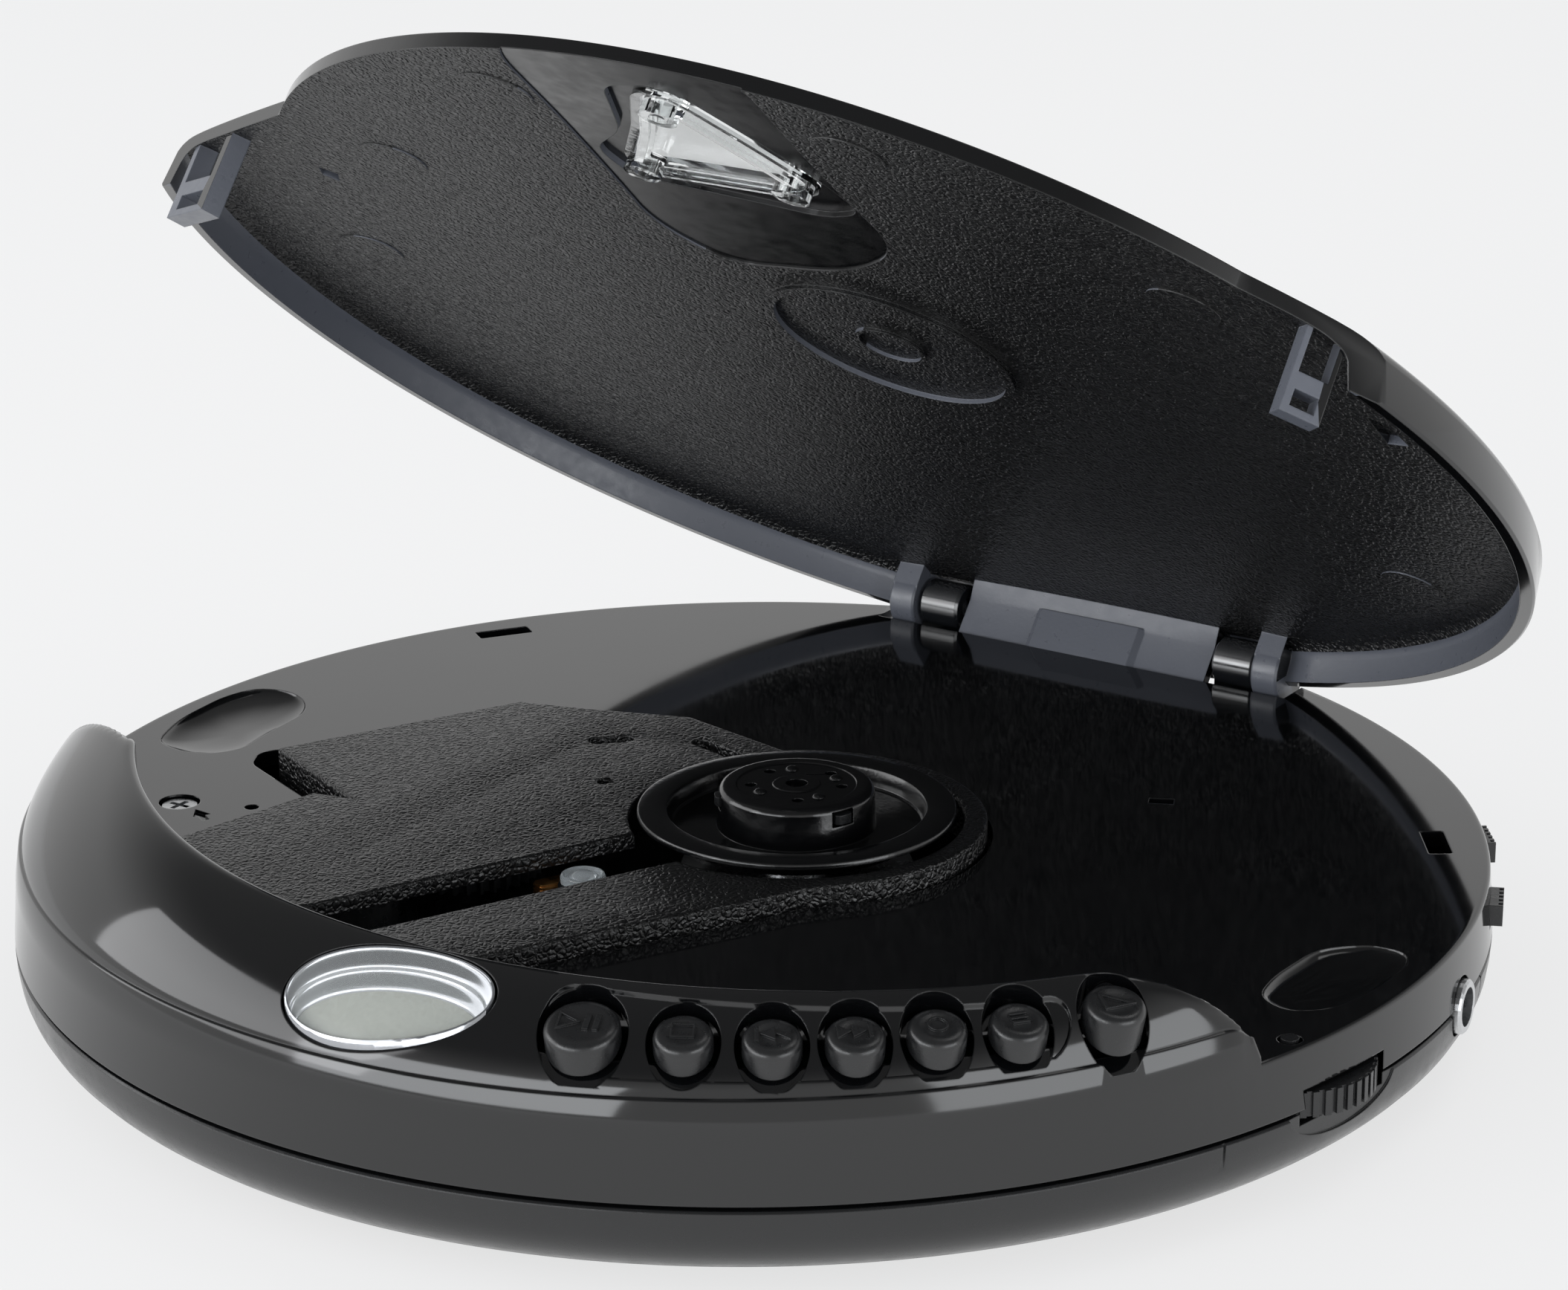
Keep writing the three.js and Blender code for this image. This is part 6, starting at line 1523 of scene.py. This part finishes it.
LIT_POINT = Vector((0, 0, 0.03))
PANELS = (("front_panel", -140, 20, 0.85, (0.9, 0.4), 2.4, (0.97, 0.98, 1.0)),
          ("low_panel", -99, 12, 0.9, (0.8, 0.3), 2.6, (0.94, 0.97, 1.0)),
          ("right_panel", -10, 10, 0.9, (0.7, 0.4), 2.2, (0.94, 0.97, 1.0)),
          ("top_panel", 70, 62, 0.8, (0.5, 0.35), 0.6, (1.0, 1.0, 1.0)))


class MakeStage(bpy.types.Operator):
    """Pale floor, soft studio light and the camera"""

    bl_idname = "player.stage"
    bl_label = "Stage"

    def execute(self, context):
        scene = bpy.context.scene
        scene.view_settings.view_transform = "Standard"
        floor = block(-STAGE_HALF, STAGE_HALF, -STAGE_HALF, STAGE_HALF, -1, 0)
        floor.name = "floor"
        pale = bpy.data.materials.new("pale_floor")
        pale.use_nodes = True
        tree = pale.node_tree
        shader = preset(tree.nodes["Principled BSDF"], Base_Color=(0.9, 0.9, 0.9, 1), Roughness=0.9,
                        Specular_IOR_Level=0.1)
        seen = self.seen_directly(tree)
        glow, mixed, share = several(tree, "ShaderNodeEmission", "ShaderNodeMixShader", "ShaderNodeMath")
        share.operation = "MULTIPLY"
        share.inputs[1].default_value = 0.7
        wire(tree, (seen, 0, share, 0), (share, 0, mixed, "Fac"), (shader, "BSDF", mixed, 1),
             (glow, "Emission", mixed, 2), (mixed, "Shader", tree.nodes["Material Output"], "Surface"))
        floor.data.materials.append(pale)
        self.light(scene)
        self.aim(scene)
        return {"FINISHED"}

    def seen_directly(self, tree):
        """A node of one for the camera's rays and for what gloss and glass show, else zero."""
        path, first, second = several(tree, "ShaderNodeLightPath", "ShaderNodeMath", "ShaderNodeMath")
        first.operation = second.operation = "MAXIMUM"
        wire(tree, (path, "Is Camera Ray", first, 0), (path, "Is Glossy Ray", first, 1), (first, 0, second, 0),
             (path, "Is Transmission Ray", second, 1))
        return second

    def ramp(self, tree, source, output, *limits):
        """A node that eases a value from one pair of limits to another."""
        node = tree.nodes.new("ShaderNodeMapRange")
        node.interpolation_type = "SMOOTHSTEP"
        for name, limit in zip(("From Min", "From Max", "To Min", "To Max"), limits):
            node.inputs[name].default_value = limit
        wire(tree, (source, output, node, "Value"))
        return node

    def light(self, scene):
        """A white studio, brightest at the horizon, and four soft panels."""
        world = bpy.data.worlds.new("studio")
        scene.world = world
        world.use_nodes = True
        tree = world.node_tree
        tree.nodes.clear()
        dim, bright, mixed, output = several(tree, "ShaderNodeBackground", "ShaderNodeBackground",
                                             "ShaderNodeMixShader", "ShaderNodeOutputWorld")
        preset(dim, Color=(0.93, 0.96, 1.0, 1), Strength=0.5)
        place, split, path = several(tree, "ShaderNodeTexCoord", "ShaderNodeSeparateXYZ", "ShaderNodeLightPath")
        behind, both, level = several(tree, "ShaderNodeVectorMath", "ShaderNodeMath", "ShaderNodeMath")
        behind.operation, both.operation, level.operation = "DOT_PRODUCT", "MULTIPLY", "MAXIMUM"
        behind.inputs[1].default_value = (-0.559, 0.829, 0)
        wire(tree, (place, "Generated", split, 0), (place, "Generated", behind, 0))
        high = self.ramp(tree, split, "Z", 0.3, 0.62, 1.0, 0.22)
        back = self.ramp(tree, behind, "Value", -0.45, 0.25, 0.85, 1.0)
        wire(tree, (high, "Result", both, 0), (back, "Result", both, 1), (both, 0, level, 0),
             (path, "Is Camera Ray", level, 1), (level, 0, bright, "Strength"),
             (self.seen_directly(tree), 0, mixed, "Fac"), (dim, "Background", mixed, 1),
             (bright, "Background", mixed, 2), (mixed, "Shader", output, "Surface"))
        for name, azimuth, rise, distance, size, power, colour in PANELS:
            light = bpy.data.lights.new(name, "AREA")
            light.shape, light.size, light.size_y = "RECTANGLE", *size
            light.energy, light.color = power, colour
            lamp = bpy.data.objects.new(name, light)
            spot_at = Vector((*polar(distance * math.cos(math.radians(rise)), azimuth),
                              distance * math.sin(math.radians(rise))))
            aimed = (LIT_POINT - spot_at).to_track_quat("-Z", "Y").to_matrix().to_4x4()
            lamp.matrix_world = Matrix.Translation(spot_at) @ aimed
            scene.collection.objects.link(lamp)

    def aim(self, scene):
        """Camera at the viewing angle, worked out from the well, the turntable and the body's rim."""
        turn, rise, roll = (math.radians(a) for a in CAMERA_ANGLES)
        back = Vector((math.sin(turn) * math.cos(rise), -math.cos(turn) * math.cos(rise), math.sin(rise)))
        right = Vector((math.cos(turn), math.sin(turn), 0))
        up = back.cross(right)
        right, up = (right * math.cos(roll) + up * math.sin(roll), up * math.cos(roll) - right * math.sin(roll))
        place = Vector((*CAMERA_TARGET, DISC_Z)) + back * CAMERA_DISTANCE
        place = place + right * CAMERA_SHIFT[0] + up * CAMERA_SHIFT[1]
        camera = bpy.data.objects.new("camera", bpy.data.cameras.new("camera"))
        camera.data.lens, camera.data.sensor_width = FOCAL_PIXELS / PICTURE_WIDTH * SENSOR, SENSOR
        camera.data.clip_start = 0.01
        camera.matrix_world = Matrix.Translation(place * MM) @ Matrix((right, up, back)).transposed().to_4x4()
        scene.collection.objects.link(camera)
        scene.camera = camera


class PlayerPanel(bpy.types.Panel):
    """Lists the settings and the pieces"""

    bl_idname = "VIEW3D_PT_player"
    bl_label = "Disc player"
    bl_space_type = "VIEW_3D"
    bl_region_type = "UI"
    bl_category = "Player"

    def draw(self, context):
        for group in (context.scene.player_sizes, context.scene.player_colours):
            for name in group.__annotations__:
                self.layout.prop(group, name)
        for maker in MAKERS:
            self.layout.operator(maker.bl_idname)


MAKERS = (MakeStage, MakeUpperShell, MakeLowerShell, MakeLid, MakeWindow, MakeCover, MakeKeys, MakeDisplay,
          MakeTurntable, MakePickup, MakeSideFittings, MakeFasteners, DressCarried)
CLASSES = (PlayerSizes, PlayerColours, *MAKERS, PlayerPanel)


def register():
    for one in CLASSES:
        bpy.utils.register_class(one)
    bpy.types.Scene.player_sizes = bpy.props.PointerProperty(type=PlayerSizes)
    bpy.types.Scene.player_colours = bpy.props.PointerProperty(type=PlayerColours)


def unregister():
    del bpy.types.Scene.player_colours
    del bpy.types.Scene.player_sizes
    for one in reversed(CLASSES):
        bpy.utils.unregister_class(one)


def main():
    register()
    for maker in MAKERS:
        group, name = maker.bl_idname.split(".")
        getattr(getattr(bpy.ops, group), name)()


if __name__ == "__main__":
    main()
